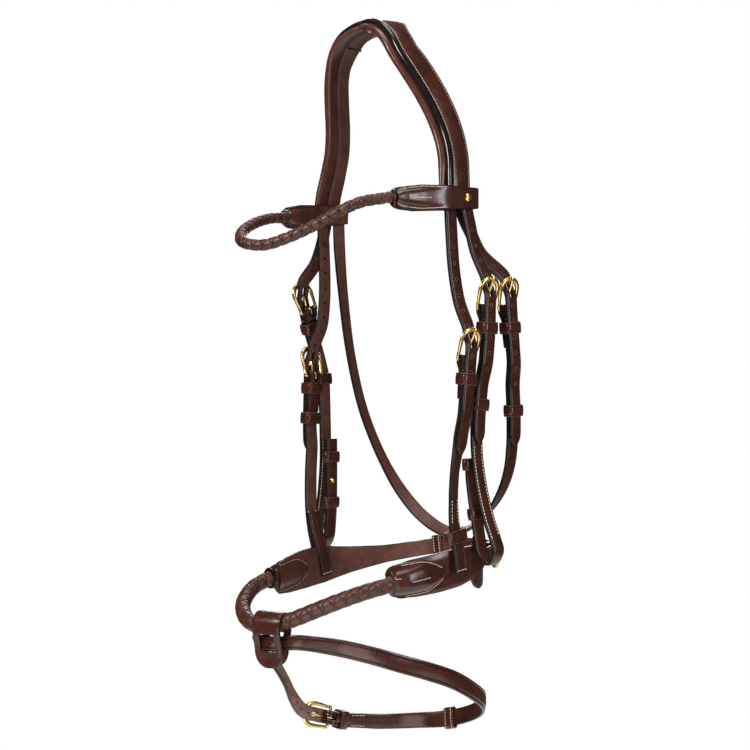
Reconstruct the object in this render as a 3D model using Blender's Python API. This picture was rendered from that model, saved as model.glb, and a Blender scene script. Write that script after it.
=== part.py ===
"""English leather bridle headstall: padded crown, plaited browband, plaited cavesson and flash.

Frame: +Z up, the horse faces -Y and its left (near) side is +X. The origin is the middle of the
crown's underside at the poll. Lengths in this file are millimetres until the meshes are made.
"""

import math

import bmesh
import bpy
import numpy as np

MM = 0.001

# Driving dimensions
STRAP_WIDTH = 13.0
STRAP_THICK = 2.8
STEP = 8.0
GAP = 0.4

CROWN_PAD_THICK = 5.5
CROWN_LEATHER_THICK = 3.0
CROWN_POLL_SCALE = 1.3
PIPING_RADIUS = 2.3
CROWN_END_Z = -160.0
BILLET_TOP_Z = -163.2

BROW_CORD_RADIUS = 4.5
NOSE_CORD_RADIUS = 6.5

WIRE_RADIUS = 1.5
TONGUE_RADIUS = 1.2
FOLD_RADIUS = WIRE_RADIUS + GAP + STRAP_THICK / 2
FOLD_LENGTH = 44.0
LIFT_FADE = 26.0
BUCKLE_HALF_WIDTH = 9.3
BUCKLE_HEIGHT = 27.5
BUCKLE_TILT = math.radians(15)
BILLET_RISE = FOLD_RADIUS + STRAP_THICK + GAP
HOLE_DIAMETER = 3.6
HOLE_PITCH = 14.0
KEEPER_WALL = 1.7
KEEPER_LENGTH = 10.5

PIVOT_Z = -163.0
NOSEBAND_PIVOT_Y = 5.0
CHEEK_PIVOT_X = 90.0
THROATLASH_PIVOT_Y = 20.0
FLASH_PIVOT = (-1.0, -121.8, -525.5)

PANEL_THICK = STRAP_THICK
BOOT_LENGTH = 54.0

OUT_NEAR = (1, 0, 0)
OUT_OFF = (-1, 0, 0)

LEATHER = ("leather_grain", (0.055, 0.016, 0.012), 0.32, 0.0)
DARK_LEATHER = ("leather_black_edge", (0.018, 0.008, 0.007), 0.25, 0.0)
LINING = ("leather_lining", (0.11, 0.04, 0.026), 0.5, 0.0)
BRASS = ("brass", (0.72, 0.5, 0.17), 0.22, 1.0)


# ---------------------------------------------------------------- helpers

def clear_scene():
    for obj in list(bpy.data.objects):
        bpy.data.objects.remove(obj, do_unlink=True)


def material(kind):
    name, colour, roughness, metallic = kind
    found = bpy.data.materials.get(name)
    if found:
        return found
    mat = bpy.data.materials.new(name)
    mat.use_nodes = True
    shader = mat.node_tree.nodes["Principled BSDF"]
    shader.inputs["Base Color"].default_value = (*colour, 1.0)
    shader.inputs["Roughness"].default_value = roughness
    shader.inputs["Metallic"].default_value = metallic
    return mat


def unit(vector):
    vector = np.asarray(vector, float)
    return vector / np.linalg.norm(vector)


def add_node(name, verts, faces, kind, origin=(0, 0, 0), smooth=True):
    """One named object; its origin is put on its joint's axis when one is given."""
    mesh = bpy.data.meshes.new(name)
    origin = np.asarray(origin, float)
    mesh.from_pydata([tuple((np.asarray(v, float) - origin) * MM) for v in verts], [], faces)
    mesh.validate()
    work = bmesh.new()
    work.from_mesh(mesh)
    bmesh.ops.recalc_face_normals(work, faces=work.faces)
    work.to_mesh(mesh)
    work.free()
    mesh.materials.append(material(kind))
    obj = bpy.data.objects.new(name, mesh)
    obj.location = tuple(origin * MM)
    bpy.context.scene.collection.objects.link(obj)
    if smooth:
        mesh.shade_smooth()
        mesh.set_sharp_from_angle(angle=math.radians(40))
    return obj


def cut(obj, verts, faces):
    """Cuts one closed mesh, or several that don't touch, out of an object."""
    tool_mesh = bpy.data.meshes.new("cutter")
    tool_mesh.from_pydata([tuple(np.asarray(v, float) * MM) for v in verts], [], faces)
    work = bmesh.new()
    work.from_mesh(tool_mesh)
    bmesh.ops.recalc_face_normals(work, faces=work.faces)
    work.to_mesh(tool_mesh)
    work.free()
    tool = bpy.data.objects.new("cutter", tool_mesh)
    bpy.context.scene.collection.objects.link(tool)
    modifier = obj.modifiers.new("cut", "BOOLEAN")
    modifier.operation = "DIFFERENCE"
    modifier.solver = "EXACT"
    modifier.object = tool
    graph = bpy.context.evaluated_depsgraph_get()
    result = bpy.data.meshes.new_from_object(obj.evaluated_get(graph))
    obj.modifiers.remove(modifier)
    obj.data = result
    bpy.data.objects.remove(tool, do_unlink=True)


def curve(points, step=STEP):
    """Points at even spacing on a smooth curve through the given points, with their parameter."""
    pts = np.asarray(points, float)
    gaps = np.linalg.norm(np.diff(pts, axis=0), axis=1)
    knots = np.concatenate([[0.0], np.cumsum(np.sqrt(gaps))])
    ends = np.vstack([2 * pts[0] - pts[1], pts, 2 * pts[-1] - pts[-2]])
    dense, params = [], []
    for i in range(len(pts) - 1):
        p0, p1, p2, p3 = ends[i], ends[i + 1], ends[i + 2], ends[i + 3]
        t0 = math.sqrt(np.linalg.norm(p1 - p0))
        t1 = math.sqrt(np.linalg.norm(p2 - p1))
        t2 = math.sqrt(np.linalg.norm(p3 - p2))
        m1 = (p1 - p0) / t0 - (p2 - p0) / (t0 + t1) + (p2 - p1) / t1
        m2 = (p2 - p1) / t1 - (p3 - p1) / (t1 + t2) + (p3 - p2) / t2
        m1, m2 = m1 * t1, m2 * t1
        for k in range(12):
            u = k / 12
            dense.append((2 * u**3 - 3 * u**2 + 1) * p1 + (u**3 - 2 * u**2 + u) * m1
                         + (-2 * u**3 + 3 * u**2) * p2 + (u**3 - u**2) * m2)
            params.append(knots[i] + u * (knots[i + 1] - knots[i]))
    dense.append(pts[-1])
    params.append(knots[-1])
    dense = np.array(dense)
    length = np.concatenate([[0.0], np.cumsum(np.linalg.norm(np.diff(dense, axis=0), axis=1))])
    count = max(2, round(length[-1] / step) + 1)
    wanted = np.linspace(0, length[-1], count)
    even = np.column_stack([np.interp(wanted, length, dense[:, k]) for k in range(3)])
    return even, np.interp(wanted, length, params), knots, wanted


def tangents(points):
    grad = np.gradient(np.asarray(points, float), axis=0)
    return grad / np.linalg.norm(grad, axis=1)[:, None]


class Route:
    """A strap's centre line: points, outward directions and the direction across the strap."""

    def __init__(self, points, outward, step=STEP):
        self.points, params, knots, self.along = curve(points, step)
        outs = np.asarray(outward, float)
        if outs.ndim == 1:
            outs = np.tile(outs, (len(points), 1))
        self.tangent = tangents(self.points)
        out = np.column_stack([np.interp(params, knots, outs[:, k]) for k in range(3)])
        self.across = np.cross(self.tangent, out)
        self.across /= np.linalg.norm(self.across, axis=1)[:, None]
        self.out = np.cross(self.across, self.tangent)

    def at(self, distance):
        """Position, tangent, outward and across at a distance along the route."""
        parts = []
        for values in (self.points, self.tangent, self.out, self.across):
            parts.append(np.array([np.interp(distance, self.along, values[:, k]) for k in range(3)]))
        return parts[0], unit(parts[1]), unit(parts[2]), unit(parts[3])


def ribbon(name, points, across, width, thick, kind, origin=(0, 0, 0)):
    """A flat strap swept along points; width and thick are one number or one for each point."""
    points = np.asarray(points, float)
    count = len(points)
    width = np.broadcast_to(np.asarray(width, float), count)
    thick = np.broadcast_to(np.asarray(thick, float), count)
    along = tangents(points)
    verts = []
    for i in range(count):
        side = unit(across[i] - np.dot(across[i], along[i]) * along[i])
        face = np.cross(side, along[i])
        for a, b in ((-1, -1), (1, -1), (1, 1), (-1, 1)):
            verts.append(points[i] + side * a * width[i] / 2 + face * b * thick[i] / 2)
    faces = [(0, 1, 2, 3), tuple(4 * (count - 1) + k for k in (3, 2, 1, 0))]
    for i in range(count - 1):
        for k in range(4):
            j = (k + 1) % 4
            faces.append((4 * i + k, 4 * i + 4 + k, 4 * i + 4 + j, 4 * i + j))
    return add_node(name, verts, faces, kind, origin)


def tube(name, points, radius, kind, sides=8, closed=False, origin=(0, 0, 0), side=None):
    """A round bar or cord along points, with flat ends or joined into a ring."""
    points = np.asarray(points, float)
    count = len(points)
    if closed:
        along = np.roll(points, -1, axis=0) - np.roll(points, 1, axis=0)
        along /= np.linalg.norm(along, axis=1)[:, None]
    else:
        along = tangents(points)
    middle = points.mean(axis=0)
    if side is None:
        side = unit(np.cross(along[0], middle - points[0] + np.array([0.013, 0.017, 0.011])))
    verts = []
    for i in range(count):
        side = unit(side - np.dot(side, along[i]) * along[i])
        other = np.cross(along[i], side)
        for k in range(sides):
            angle = 2 * math.pi * (k + 0.5) / sides
            verts.append(points[i] + radius * (math.cos(angle) * side + math.sin(angle) * other))
    faces = []
    for i in range(count if closed else count - 1):
        nxt = (i + 1) % count
        for k in range(sides):
            j = (k + 1) % sides
            faces.append((sides * i + k, sides * i + j, sides * nxt + j, sides * nxt + k))
    if not closed:
        faces.append(tuple(reversed(range(sides))))
        faces.append(tuple(sides * (count - 1) + k for k in range(sides)))
    return add_node(name, verts, faces, kind, origin)


def block(centre, axes, halves):
    """Vertices and faces of a box with its own axes, for a cutter."""
    centre = np.asarray(centre, float)
    verts = []
    for a in (-1, 1):
        for b in (-1, 1):
            for c in (-1, 1):
                verts.append(centre + a * halves[0] * axes[0] + b * halves[1] * axes[1]
                             + c * halves[2] * axes[2])
    faces = [(0, 1, 3, 2), (4, 6, 7, 5), (0, 4, 5, 1), (2, 3, 7, 6), (0, 2, 6, 4), (1, 5, 7, 3)]
    return verts, faces


def peg(centre, axis, side, radius, half, sides=8):
    """Vertices and faces of a round punch, for a cutter."""
    centre, axis = np.asarray(centre, float), unit(axis)
    side = unit(side - np.dot(side, axis) * axis)
    other = np.cross(axis, side)
    verts = []
    for end in (-1, 1):
        for k in range(sides):
            angle = 2 * math.pi * k / sides
            verts.append(centre + axis * end * half
                         + radius * (math.cos(angle) * side + math.sin(angle) * other))
    faces = [tuple(reversed(range(sides))), tuple(sides + k for k in range(sides))]
    for k in range(sides):
        j = (k + 1) % sides
        faces.append((k, j, sides + j, sides + k))
    return verts, faces


def joined(pieces):
    verts, faces = [], []
    for piece_verts, piece_faces in pieces:
        start = len(verts)
        verts += list(piece_verts)
        faces += [tuple(start + k for k in face) for face in piece_faces]
    return verts, faces


# ---------------------------------------------------------------- straps with buckles

class Buckled:
    """A strap that hangs from a buckle: its centre route starts at the buckle's bar."""

    def __init__(self, route, width=STRAP_WIDTH, fold=FOLD_LENGTH):
        self.route, self.width, self.fold = route, width, fold
        self.bar, self.down, self.out, self.side = route.at(0.0)

    def local(self, down, out, side=0.0):
        return self.bar + self.down * down + self.out * out + self.side * side

    def lift(self, distance):
        """How far the strap's outer layer stands off its centre route."""
        ease = np.clip((distance - self.fold) / LIFT_FADE, 0, 1)
        return FOLD_RADIUS * (1 - ease * ease * (3 - 2 * ease))

    def strap(self, name, kind):
        """The strap: a short inner layer, a turn round the bar, and the outer layer."""
        total = self.route.along[-1]
        points, across = [], []
        for s in np.linspace(self.fold, 0, max(3, round(self.fold / STEP) + 1)):
            place, _, out, side = self.route.at(s)
            points.append(place - out * FOLD_RADIUS)
            across.append(-side)
        for k in range(1, 6):
            angle = math.pi * k / 6
            points.append(self.local(-FOLD_RADIUS * math.sin(angle), -FOLD_RADIUS * math.cos(angle)))
            across.append(-self.side)
        for s in np.linspace(0, total, max(4, round(total / STEP) + 1)):
            place, _, out, side = self.route.at(s)
            points.append(place + out * self.lift(s))
            across.append(-side)
        obj = ribbon(name, points, across, self.width, STRAP_THICK, kind)
        slot = block(self.local(-0.4, 0), (self.down, self.out, self.side), (5.8, 6.5, 2.1))
        cut(obj, *slot)

    def frame_point(self, up, side):
        return self.local(-up * math.cos(BUCKLE_TILT), up * math.sin(BUCKLE_TILT), side)

    def buckle(self, name):
        """A horseshoe frame: straight bar below, legs that flare, and a round top."""
        half = BUCKLE_HALF_WIDTH + (self.width - STRAP_WIDTH) / 2
        arc = half + 1.0
        points = [self.frame_point(0, s * half) for s in (-0.7, -0.25, 0.25, 0.7)]
        points.append(self.frame_point(0.9, half))
        points.append(self.frame_point(6, half + 0.4))
        points.append(self.frame_point(12, half + 0.8))
        turns = 8
        for k in range(turns + 1):
            angle = math.pi * k / turns
            points.append(self.frame_point(BUCKLE_HEIGHT - arc + arc * math.sin(angle),
                                           arc * math.cos(angle)))
        points.append(self.frame_point(12, -half - 0.8))
        points.append(self.frame_point(6, -half - 0.4))
        points.append(self.frame_point(0.9, -half))
        return tube(name, points, WIRE_RADIUS, BRASS, sides=8, closed=True)

    def tongue(self, name):
        """A pin that turns on the bar: a ring round the bar, then a shaft out over the top."""
        ring = WIRE_RADIUS + GAP + 0.1 + TONGUE_RADIUS
        top_out = BUCKLE_HEIGHT * math.sin(BUCKLE_TILT) + WIRE_RADIUS + GAP + TONGUE_RADIUS
        points = [self.local(ring * math.sin(a), ring * math.cos(a))
                  for a in np.radians(np.linspace(250, 0, 8))]
        points.append(self.local(-6, ring + 0.1))
        points.append(self.local(-11.5, ring + 0.4))
        points.append(self.local(-BUCKLE_HEIGHT * math.cos(BUCKLE_TILT), top_out))
        points.append(self.local(-30.0, top_out + 0.2))
        return tube(name, points, TONGUE_RADIUS, BRASS, sides=6, origin=self.bar, side=self.side)

    def billet_points(self, upper, outs, length):
        """The billet's route: from above, under the buckle's top, and down over the strap."""
        points = [tuple(p) for p in upper]
        outward = [tuple(o) for o in outs]
        for down, out in ((-28, 0.7), (-22.5, 1.8), (-17, 4.4), (-12, BILLET_RISE),
                          (0, BILLET_RISE + 0.15)):
            points.append(tuple(self.local(down, out)))
            outward.append(tuple(self.out))
        stops = np.linspace(14, length, max(2, round(length / 18)))
        for s in stops:
            place, _, out, _ = self.route.at(s)
            rise = self.lift(s) + STRAP_THICK + GAP + 0.3
            points.append(tuple(place + out * rise))
            outward.append(tuple(out))
        return points, outward

    def billet(self, name, upper, outs, length, kind, holes_above, holes_below, taper=None):
        points, outward = self.billet_points(upper, outs, length)
        route = Route(points, outward, step=7.0)
        count = len(route.points)
        widths = np.full(count, self.width) if taper is None else taper(route)
        widths = np.array(widths, float)
        widths[-1] = self.width * 0.45
        widths[-2] = self.width * 0.9
        obj = ribbon(name, route.points, -route.across, widths, STRAP_THICK, kind)
        slot = self.local(-17.0, 4.4)
        cutters = [block(slot, (self.down, self.out, self.side), (8.0, 6.0, 2.1))]
        spots = np.linspace(0, route.along[-1], 400)
        start = min(spots, key=lambda spot: np.linalg.norm(route.at(spot)[0] - slot))
        for k in list(range(-holes_above, 0)) + list(range(1, holes_below + 1)):
            spot = start + k * HOLE_PITCH
            if 6 < spot < route.along[-1] - 10:
                place, _, out, side = route.at(spot)
                cutters.append(peg(place, out, side, HOLE_DIAMETER / 2, STRAP_THICK))
        cut(obj, *joined(cutters))


def keeper(name, centre_distance, buckled, with_billet=True, fit=0.45, length=KEEPER_LENGTH,
           slack=0.0):
    """A leather loop round the strap, and round the billet where one lies on it."""
    route = buckled.route
    half = length / 2 + slack
    centre, down, out, side = route.at(centre_distance)
    corners = []
    for s in np.linspace(centre_distance - half, centre_distance + half, 5):
        place, _, o, sd = route.at(s)
        outer = buckled.lift(s) + STRAP_THICK / 2
        if with_billet:
            outer += STRAP_THICK + GAP + 0.3
        inmost = (-FOLD_RADIUS if s < buckled.fold + 1 else buckled.lift(s)) - STRAP_THICK / 2
        for depth in (inmost, outer):
            for edge in (-buckled.width / 2, buckled.width / 2):
                corner = place + o * depth + sd * edge - centre
                corners.append((np.dot(corner, out), np.dot(corner, side)))
    low_out, low_side = np.min(corners, axis=0) - fit
    high_out, high_side = np.max(corners, axis=0) + fit
    loop(name, (centre, down, out, side), (low_out, high_out), (low_side, high_side), length)


def loop(name, frame, span_out, span_side, length):
    """A closed band with a rectangular opening and bevelled outer corners."""
    centre, down, out, side = frame
    bevel = KEEPER_WALL - 2.0
    inner, outer = [], []
    for a, b in ((0, 0), (0, 1), (1, 1), (1, 0)):
        o, s = span_out[a], span_side[b]
        d_o, d_s = 2 * a - 1, 2 * b - 1
        pair = [(o + d_o * KEEPER_WALL, s + d_s * bevel), (o + d_o * bevel, s + d_s * KEEPER_WALL)]
        inner.append((o, s))
        outer += pair if a != b else pair[::-1]
    verts, faces = [], []
    for end in (-length / 2, length / 2):
        verts += [centre + down * end + out * o + side * s for o, s in inner + outer]
    for k in range(4):
        j = (k + 1) % 4
        faces.append((k, j, 12 + j, 12 + k))
    for k in range(8):
        j = (k + 1) % 8
        faces.append((4 + k, 4 + j, 16 + j, 16 + k))
    for base in (0, 12):
        for k in range(4):
            j = (k + 1) % 4
            faces.append((base + k, base + 4 + 2 * k, base + 5 + 2 * k))
            faces.append((base + k, base + 5 + 2 * k, base + 4 + (2 * k + 2) % 8, base + j))
    add_node(name, verts, faces, LEATHER, origin=centre)


# ---------------------------------------------------------------- crown

CROWN_HALF = [(4.5, -4, 4), (15, -8, 2.2), (27, -12, -4), (37.5, -13, -14), (45, -12, -25),
              (54.5, -7, -40), (64, 1, -60), (71.5, 8, -80), (78, 12, -100), (84, 12, -120),
              (88, 9.5, -140), (90, 8, CROWN_END_Z)]


def crown_route():
    points = [(-x, y, z) for x, y, z in reversed(CROWN_HALF)] + CROWN_HALF
    outward = []
    for x, _, z in points:
        lean = np.clip(-z / 30.0, 0, 1)
        outward.append((math.copysign(lean, x) if lean else 0.0, -0.07 * lean, 1 - lean))
    return Route(points, outward, step=9.5)


def crown():
    route = crown_route()
    mid = np.abs(np.linspace(-1, 1, len(route.points)))
    scale = 1 + (CROWN_POLL_SCALE - 1) * np.clip(1 - mid / 0.3, 0, 1)
    rear = -route.across

    def strip(name, centre, width, lift, thick, kind):
        points = route.points + route.out * lift + rear * (centre * scale)[:, None]
        return ribbon(name, points, rear, width * scale, thick, kind)

    strip("crown_leather", 4.3, 20, 4.4, CROWN_LEATHER_THICK, LEATHER)
    strip("crown_lining_rear", 6.2, 15.6, -1.25, CROWN_PAD_THICK, LINING)
    strip("crown_lining_front", -8.4, 11.2, -1.25, CROWN_PAD_THICK, LINING)
    piping = route.points + route.out * 4.9 + rear * (-8.6 * scale)[:, None]
    tube("crown_piping", piping, PIPING_RADIUS, DARK_LEATHER, sides=8)


# ---------------------------------------------------------------- browband

BROW_CORD = [(72.6, -61, -161), (65.5, -75, -164), (52, -89, -172), (36, -100, -182),
             (15, -115, -193), (-5, -127, -199), (-25, -134, -196), (-45, -122, -186),
             (-60, -98, -175), (-70, -73, -168), (-73, -56.5, -166)]


def browband_end(name, sign, front, front_z, rear_z):
    """A leather end: a sleeve on the cord's end that opens into a loop round the crown's straps."""
    fx, fy = front
    outline = [(fx - 5.0, fy), (fx + 5.5, fy), (90, -30), (100.6, -10), (101.2, 22), (99.5, 31),
               (82, 31), (79.6, 22), (79.8, -10), (76.5, -30)]
    hole = [(98.2, -8), (98.7, 22), (97.6, 29), (83.2, 29), (82.0, 22), (82.2, -8)]

    def height(y):
        return np.interp(y, [fy, -35, -5, 34], [11.2, 12.2, 9.6, 8.6])

    def middle(y):
        return np.interp(y, [fy, 34], [front_z, rear_z])

    def prism(shape, extra):
        count = len(shape)
        verts = [(sign * x, y, middle(y) + e * (height(y) + extra)) for e in (-1, 1) for x, y in shape]
        faces = [tuple(range(count)), tuple(count + k for k in reversed(range(count)))]
        for k in range(count):
            j = (k + 1) % count
            faces.append((k, count + k, count + j, j))
        return verts, faces

    verts, faces = prism(outline, 0.0)
    obj = add_node(name, verts, faces, LEATHER)
    cut(obj, *prism(hole, 5.0))


def browband():
    points, _, _, _ = curve(BROW_CORD, 9.0)
    tube("browband_plait", points, BROW_CORD_RADIUS, LEATHER, sides=8)
    browband_end("near_browband_end", 1, (75.0, -56), -160, -155.5)
    browband_end("off_browband_end", -1, (75.5, -52), -165, -155.5)
    stud = [(x, 20.0, -155.8) for x in (101.6, 102.5, 103.3)]
    tube("near_browband_stud", stud, 3.2, BRASS, sides=10)


# ---------------------------------------------------------------- noseband hangers

def hanger(prefix, points, outs, upper, upper_outs, billet_length, above):
    strap = Buckled(Route(points, outs))
    strap.strap(prefix + "_hanger_strap", LEATHER)
    strap.buckle(prefix + "_hanger_buckle")
    strap.tongue(prefix + "_hanger_tongue")
    strap.billet(prefix + "_noseband_billet", upper, upper_outs, billet_length, LEATHER, above, 2)
    return strap


def hangers():
    near_points = [(95, 17, -298), (94.4, 15.5, -318), (93.4, 13.5, -345), (91.5, 12, -372),
                   (89.5, 9.5, -396), (88.4, 9, -422), (88.6, 10.5, -446), (90, 13.5, -464),
                   (91, 16, -483.5)]
    near_outs = [OUT_NEAR] * 3 + [(1, 0.12, 0), (1, 0.3, 0), (1, 0.3, 0), (1, 0.12, 0)] + [OUT_NEAR] * 2
    near_upper = [(90.5, 3, BILLET_TOP_Z), (92, 3.5, -190), (93.5, 5, -220), (95.5, 9.5, -248)]
    near = hanger("near", near_points, near_outs, near_upper, [OUT_NEAR] * 4, 82, 6)
    keeper("near_hanger_keeper", 16.5, near)
    keeper("near_hanger_lower_keeper", 154.5, near, with_billet=False, length=11, fit=0.6)
    off_points = [(-93, -4, -312), (-92.8, -4.4, -328), (-92.3, -5.5, -352), (-92, -7, -378),
                  (-91.6, -8.8, -405), (-91, -9, -436), (-90.4, -6.5, -458), (-89.6, -3, -474),
                  (-89, 0, -489), (-89.2, 2.6, -503)]
    off_upper = [(-90.5, 4.6, BILLET_TOP_Z), (-91, 6.5, -190), (-90.8, 7.5, -220),
                 (-90.8, 7, -242), (-91, 4, -264)]
    off = hanger("off", off_points, OUT_OFF, off_upper, [OUT_OFF] * 5, 72, 8)
    keeper("off_hanger_keeper", 11.5, off)
    keeper("off_hanger_lower_keeper", 40.0, off, length=11)


# ---------------------------------------------------------------- cheekpieces

def cheekpiece(prefix, points, outs, upper, upper_outs, billet_length, above, runner_at):
    """A cheek strap folded round its buckle bar above and turned up round a bit ring below."""
    strap = Buckled(Route(points, outs))
    strap.strap(prefix + "_cheek_strap", LEATHER)
    strap.buckle(prefix + "_cheek_buckle")
    strap.tongue(prefix + "_cheek_tongue")
    strap.billet(prefix + "_cheek_billet", upper, upper_outs, billet_length, LEATHER, above, 3)
    keeper(prefix + "_cheek_keeper", 16.5, strap)
    keeper(prefix + "_cheek_runner", runner_at, strap, slack=7.0, fit=0.6)
    return strap


def loop_keeper(name, strap, at):
    """A band round the end that is turned up behind the hanging strap."""
    deep = STRAP_THICK / 2 + 0.7
    wide = strap.width / 2 + 0.7
    loop(name, strap.route.at(at), (-deep, deep), (-wide, wide), 10.5)


def cheekpieces():
    near_points = [(95.5, 40, -253), (95, 39.6, -275), (94.4, 37.5, -300), (93.4, 34.5, -330),
                   (92.8, 32.4, -358), (93.2, 33, -382), (94, 35.5, -402), (96.2, 38, -420),
                   (100, 40.6, -438), (105.5, 43, -455)]
    near_turn = [(108.2, 44, -466), (101, 42.5, -477), (92.6, 40, -468), (90.2, 38.8, -455),
                 (88.6, 37, -438), (86.8, 35, -420), (85.6, 33.4, -402), (85.2, 32.4, -384)]
    near_outs = ([OUT_NEAR] * 10
                 + [(0.9, 0, -0.4), (0, 0, -1), (-1, 0, -0.3)] + [(-1, 0, 0)] * 5)
    near_upper = [(94.2, 18, BILLET_TOP_Z), (95, 22.5, -180), (95.3, 29, -202)]
    near = cheekpiece("near", near_points + near_turn, near_outs, near_upper, [OUT_NEAR] * 3,
                      118, 4, 84)
    off_points = [(-104, -1, -250), (-105.5, 4, -264), (-106.8, 11, -280), (-106.3, 16.2, -297),
                  (-104.2, 17, -316), (-101.5, 15.8, -340), (-99.4, 14.8, -364),
                  (-98.4, 14.4, -390), (-100, 14, -414), (-104, 14.4, -436), (-109, 15, -455)]
    off_turn = [(-112, 15.5, -466), (-105, 16, -477), (-96.4, 16.4, -468), (-93.4, 16.4, -452),
                (-91.6, 16, -434), (-90.6, 15.6, -414), (-90.4, 15.4, -390), (-90.4, 15.4, -372)]
    off_outs = ([OUT_OFF] * 11
                + [(-0.9, 0, -0.4), (0, 0, -1), (1, 0, -0.3)] + [(1, 0, 0)] * 5)
    off_upper = [(-95.2, 13.5, BILLET_TOP_Z), (-98.6, 10, -185), (-102, 4.5, -205)]
    off = cheekpiece("off", off_points + off_turn, off_outs, off_upper, [OUT_OFF] * 3, 84, 3, 68)
    for strap, side in ((near, "near"), (off, "off")):
        zs = strap.route.points[:, 2]
        lowest = int(np.argmin(zs))
        for label, z in (("upper", -389.5), ("lower", -433.0)):
            return_at = np.interp(z, zs[lowest:], strap.route.along[lowest:])
            loop_keeper(side + "_bit_loop_" + label + "_keeper", strap, return_at)
        return_at = np.interp(-412.0, zs[lowest:], strap.route.along[lowest:])
        place, _, out, _ = strap.route.at(return_at)
        stud = [place + out * depth for depth in (1.8, 2.8, 3.8)]
        tube(side + "_bit_loop_stud", stud, 2.4, BRASS, sides=8)


# ---------------------------------------------------------------- throatlash

def throatlash():
    points = [(95.5, 66.5, -252.5), (95.3, 68.6, -275), (95.2, 71.5, -300), (94.8, 74, -330),
              (94, 75.6, -355), (93, 76, -376), (90.5, 74.5, -397), (84.5, 70.5, -417),
              (73, 67, -434), (57, 67, -446), (35, 69.5, -454), (10, 71, -456.5), (-20, 69.5, -444.5),
              (-46, 66, -422.5), (-64, 61, -397), (-77.5, 53.5, -365), (-84, 46, -335),
              (-89.5, 37.5, -287), (-89.6, 28.5, -229), (-87, 22.5, -190), (-86, 20.5, BILLET_TOP_Z)]
    outs = ([OUT_NEAR] * 6 + [(1, 0.1, -0.2), (0.8, 0.2, -0.5), (0.6, 0.35, -0.7), (0.35, 0.45, -0.8)]
            + [(0.15, 0.5, -0.85), (0, 0.55, -0.83), (-0.3, 0.45, -0.8), (-0.6, 0.2, -0.6)]
            + [(-0.8, -0.1, -0.4), (-0.93, -0.25, -0.2), (-0.94, -0.3, 0), (-0.95, -0.3, 0)]
            + [(-0.97, -0.2, 0)] + [OUT_OFF] * 2)
    strap = Buckled(Route(points, outs))
    strap.strap("throatlash_strap", LEATHER)
    strap.buckle("throatlash_buckle")
    strap.tongue("throatlash_tongue")
    upper = [(86.8, 19, BILLET_TOP_Z), (87.4, 21.5, -172), (89.2, 29.5, -187), (91.5, 40, -205)]
    strap.billet("near_throat_billet", upper, [OUT_NEAR] * 4, 126, LEATHER, 3, 4)
    keeper("throatlash_keeper", 16.5, strap)
    keeper("throatlash_runner", 90.5, strap, slack=7.0, fit=0.6)


# ---------------------------------------------------------------- noseband

NOSE_CORD = [(69.6, -54.8, -492), (61, -66, -496), (47, -85, -504), (31, -100.5, -513),
             (14, -113, -521.5), (-2, -121.5, -525.5), (-16, -125, -528), (-29, -124.5, -526.5),
             (-44, -119.5, -522.5), (-59, -110.5, -516.5), (-69.5, -99, -510.5),
             (-75.3, -86.5, -504)]

NEAR_PANEL = [(62, -45, -490.5), (72.5, -25, -487), (80, -4, -483.5), (84.2, 18, -479.5),
              (84.2, 36, -476), (82, 50, -473.5)]
NEAR_HEIGHTS = [26, 33, 34.5, 34.5, 30, 19]

OFF_PANEL = [(-22, 95, -474), (-46, 86, -478.5), (-66, 62, -483.5), (-79, 30, -487.5),
             (-83.4, 0, -490.5), (-81, -25, -493), (-75, -48, -496), (-67.5, -68, -498.5)]
OFF_HEIGHTS = [15, 15, 17, 25, 35, 37, 34, 27]


def boot(name, panel_points, heights):
    """A moulded leather boot over the end of the nose cord, lying on the outside of a panel."""
    route = Route(panel_points, radial(panel_points), step=9)
    stations = np.linspace(-2.0, BOOT_LENGTH, 8)
    points, across, widths, thicks = [], [], [], []
    for s in stations:
        place, along, out, side = route.at(max(s, 0))
        thick = np.interp(s, [-2, BOOT_LENGTH * 0.55, BOOT_LENGTH], [16.5, 13, 4])
        points.append(place + along * min(s, 0) + out * (PANEL_THICK / 2 + 0.6 + thick / 2))
        across.append(side)
        widths.append(np.interp(s, np.linspace(-2, BOOT_LENGTH, len(heights)), heights))
        thicks.append(thick)
    return ribbon(name, points, across, widths, thicks, LEATHER)


def radial(points, centre=(0, -10)):
    return [tuple(unit((p[0] - centre[0], p[1] - centre[1], 0))) for p in points]


def noseband():
    cord, _, _, _ = curve(NOSE_CORD, 11.0)
    tube("noseband_plait", cord, NOSE_CORD_RADIUS, LEATHER, sides=8)

    # The off side's strap runs round behind the chin and carries the buckle.
    chin_points = [(62, 80, -471.5), (54.5, 87.5, -471.5), (43, 93.5, -471.5), (25, 97.5, -472),
                   (5, 98.5, -472.5)] + OFF_PANEL
    chin_route = Route(chin_points, radial(chin_points))
    chin = Buckled(chin_route, width=16.0, fold=34.0)
    chin_off_panel(chin, chin_points, [16] * 5 + OFF_HEIGHTS)
    chin.buckle("chin_buckle")
    chin.tongue("chin_tongue")
    near_billet(chin)
    keeper("chin_keeper", 92.0, chin, fit=0.6)

    boot("near_noseband_boot", NEAR_PANEL, [24, 28, 26, 10])
    boot("off_noseband_boot", OFF_PANEL[::-1][:5], [24, 28, 26, 10])


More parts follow.
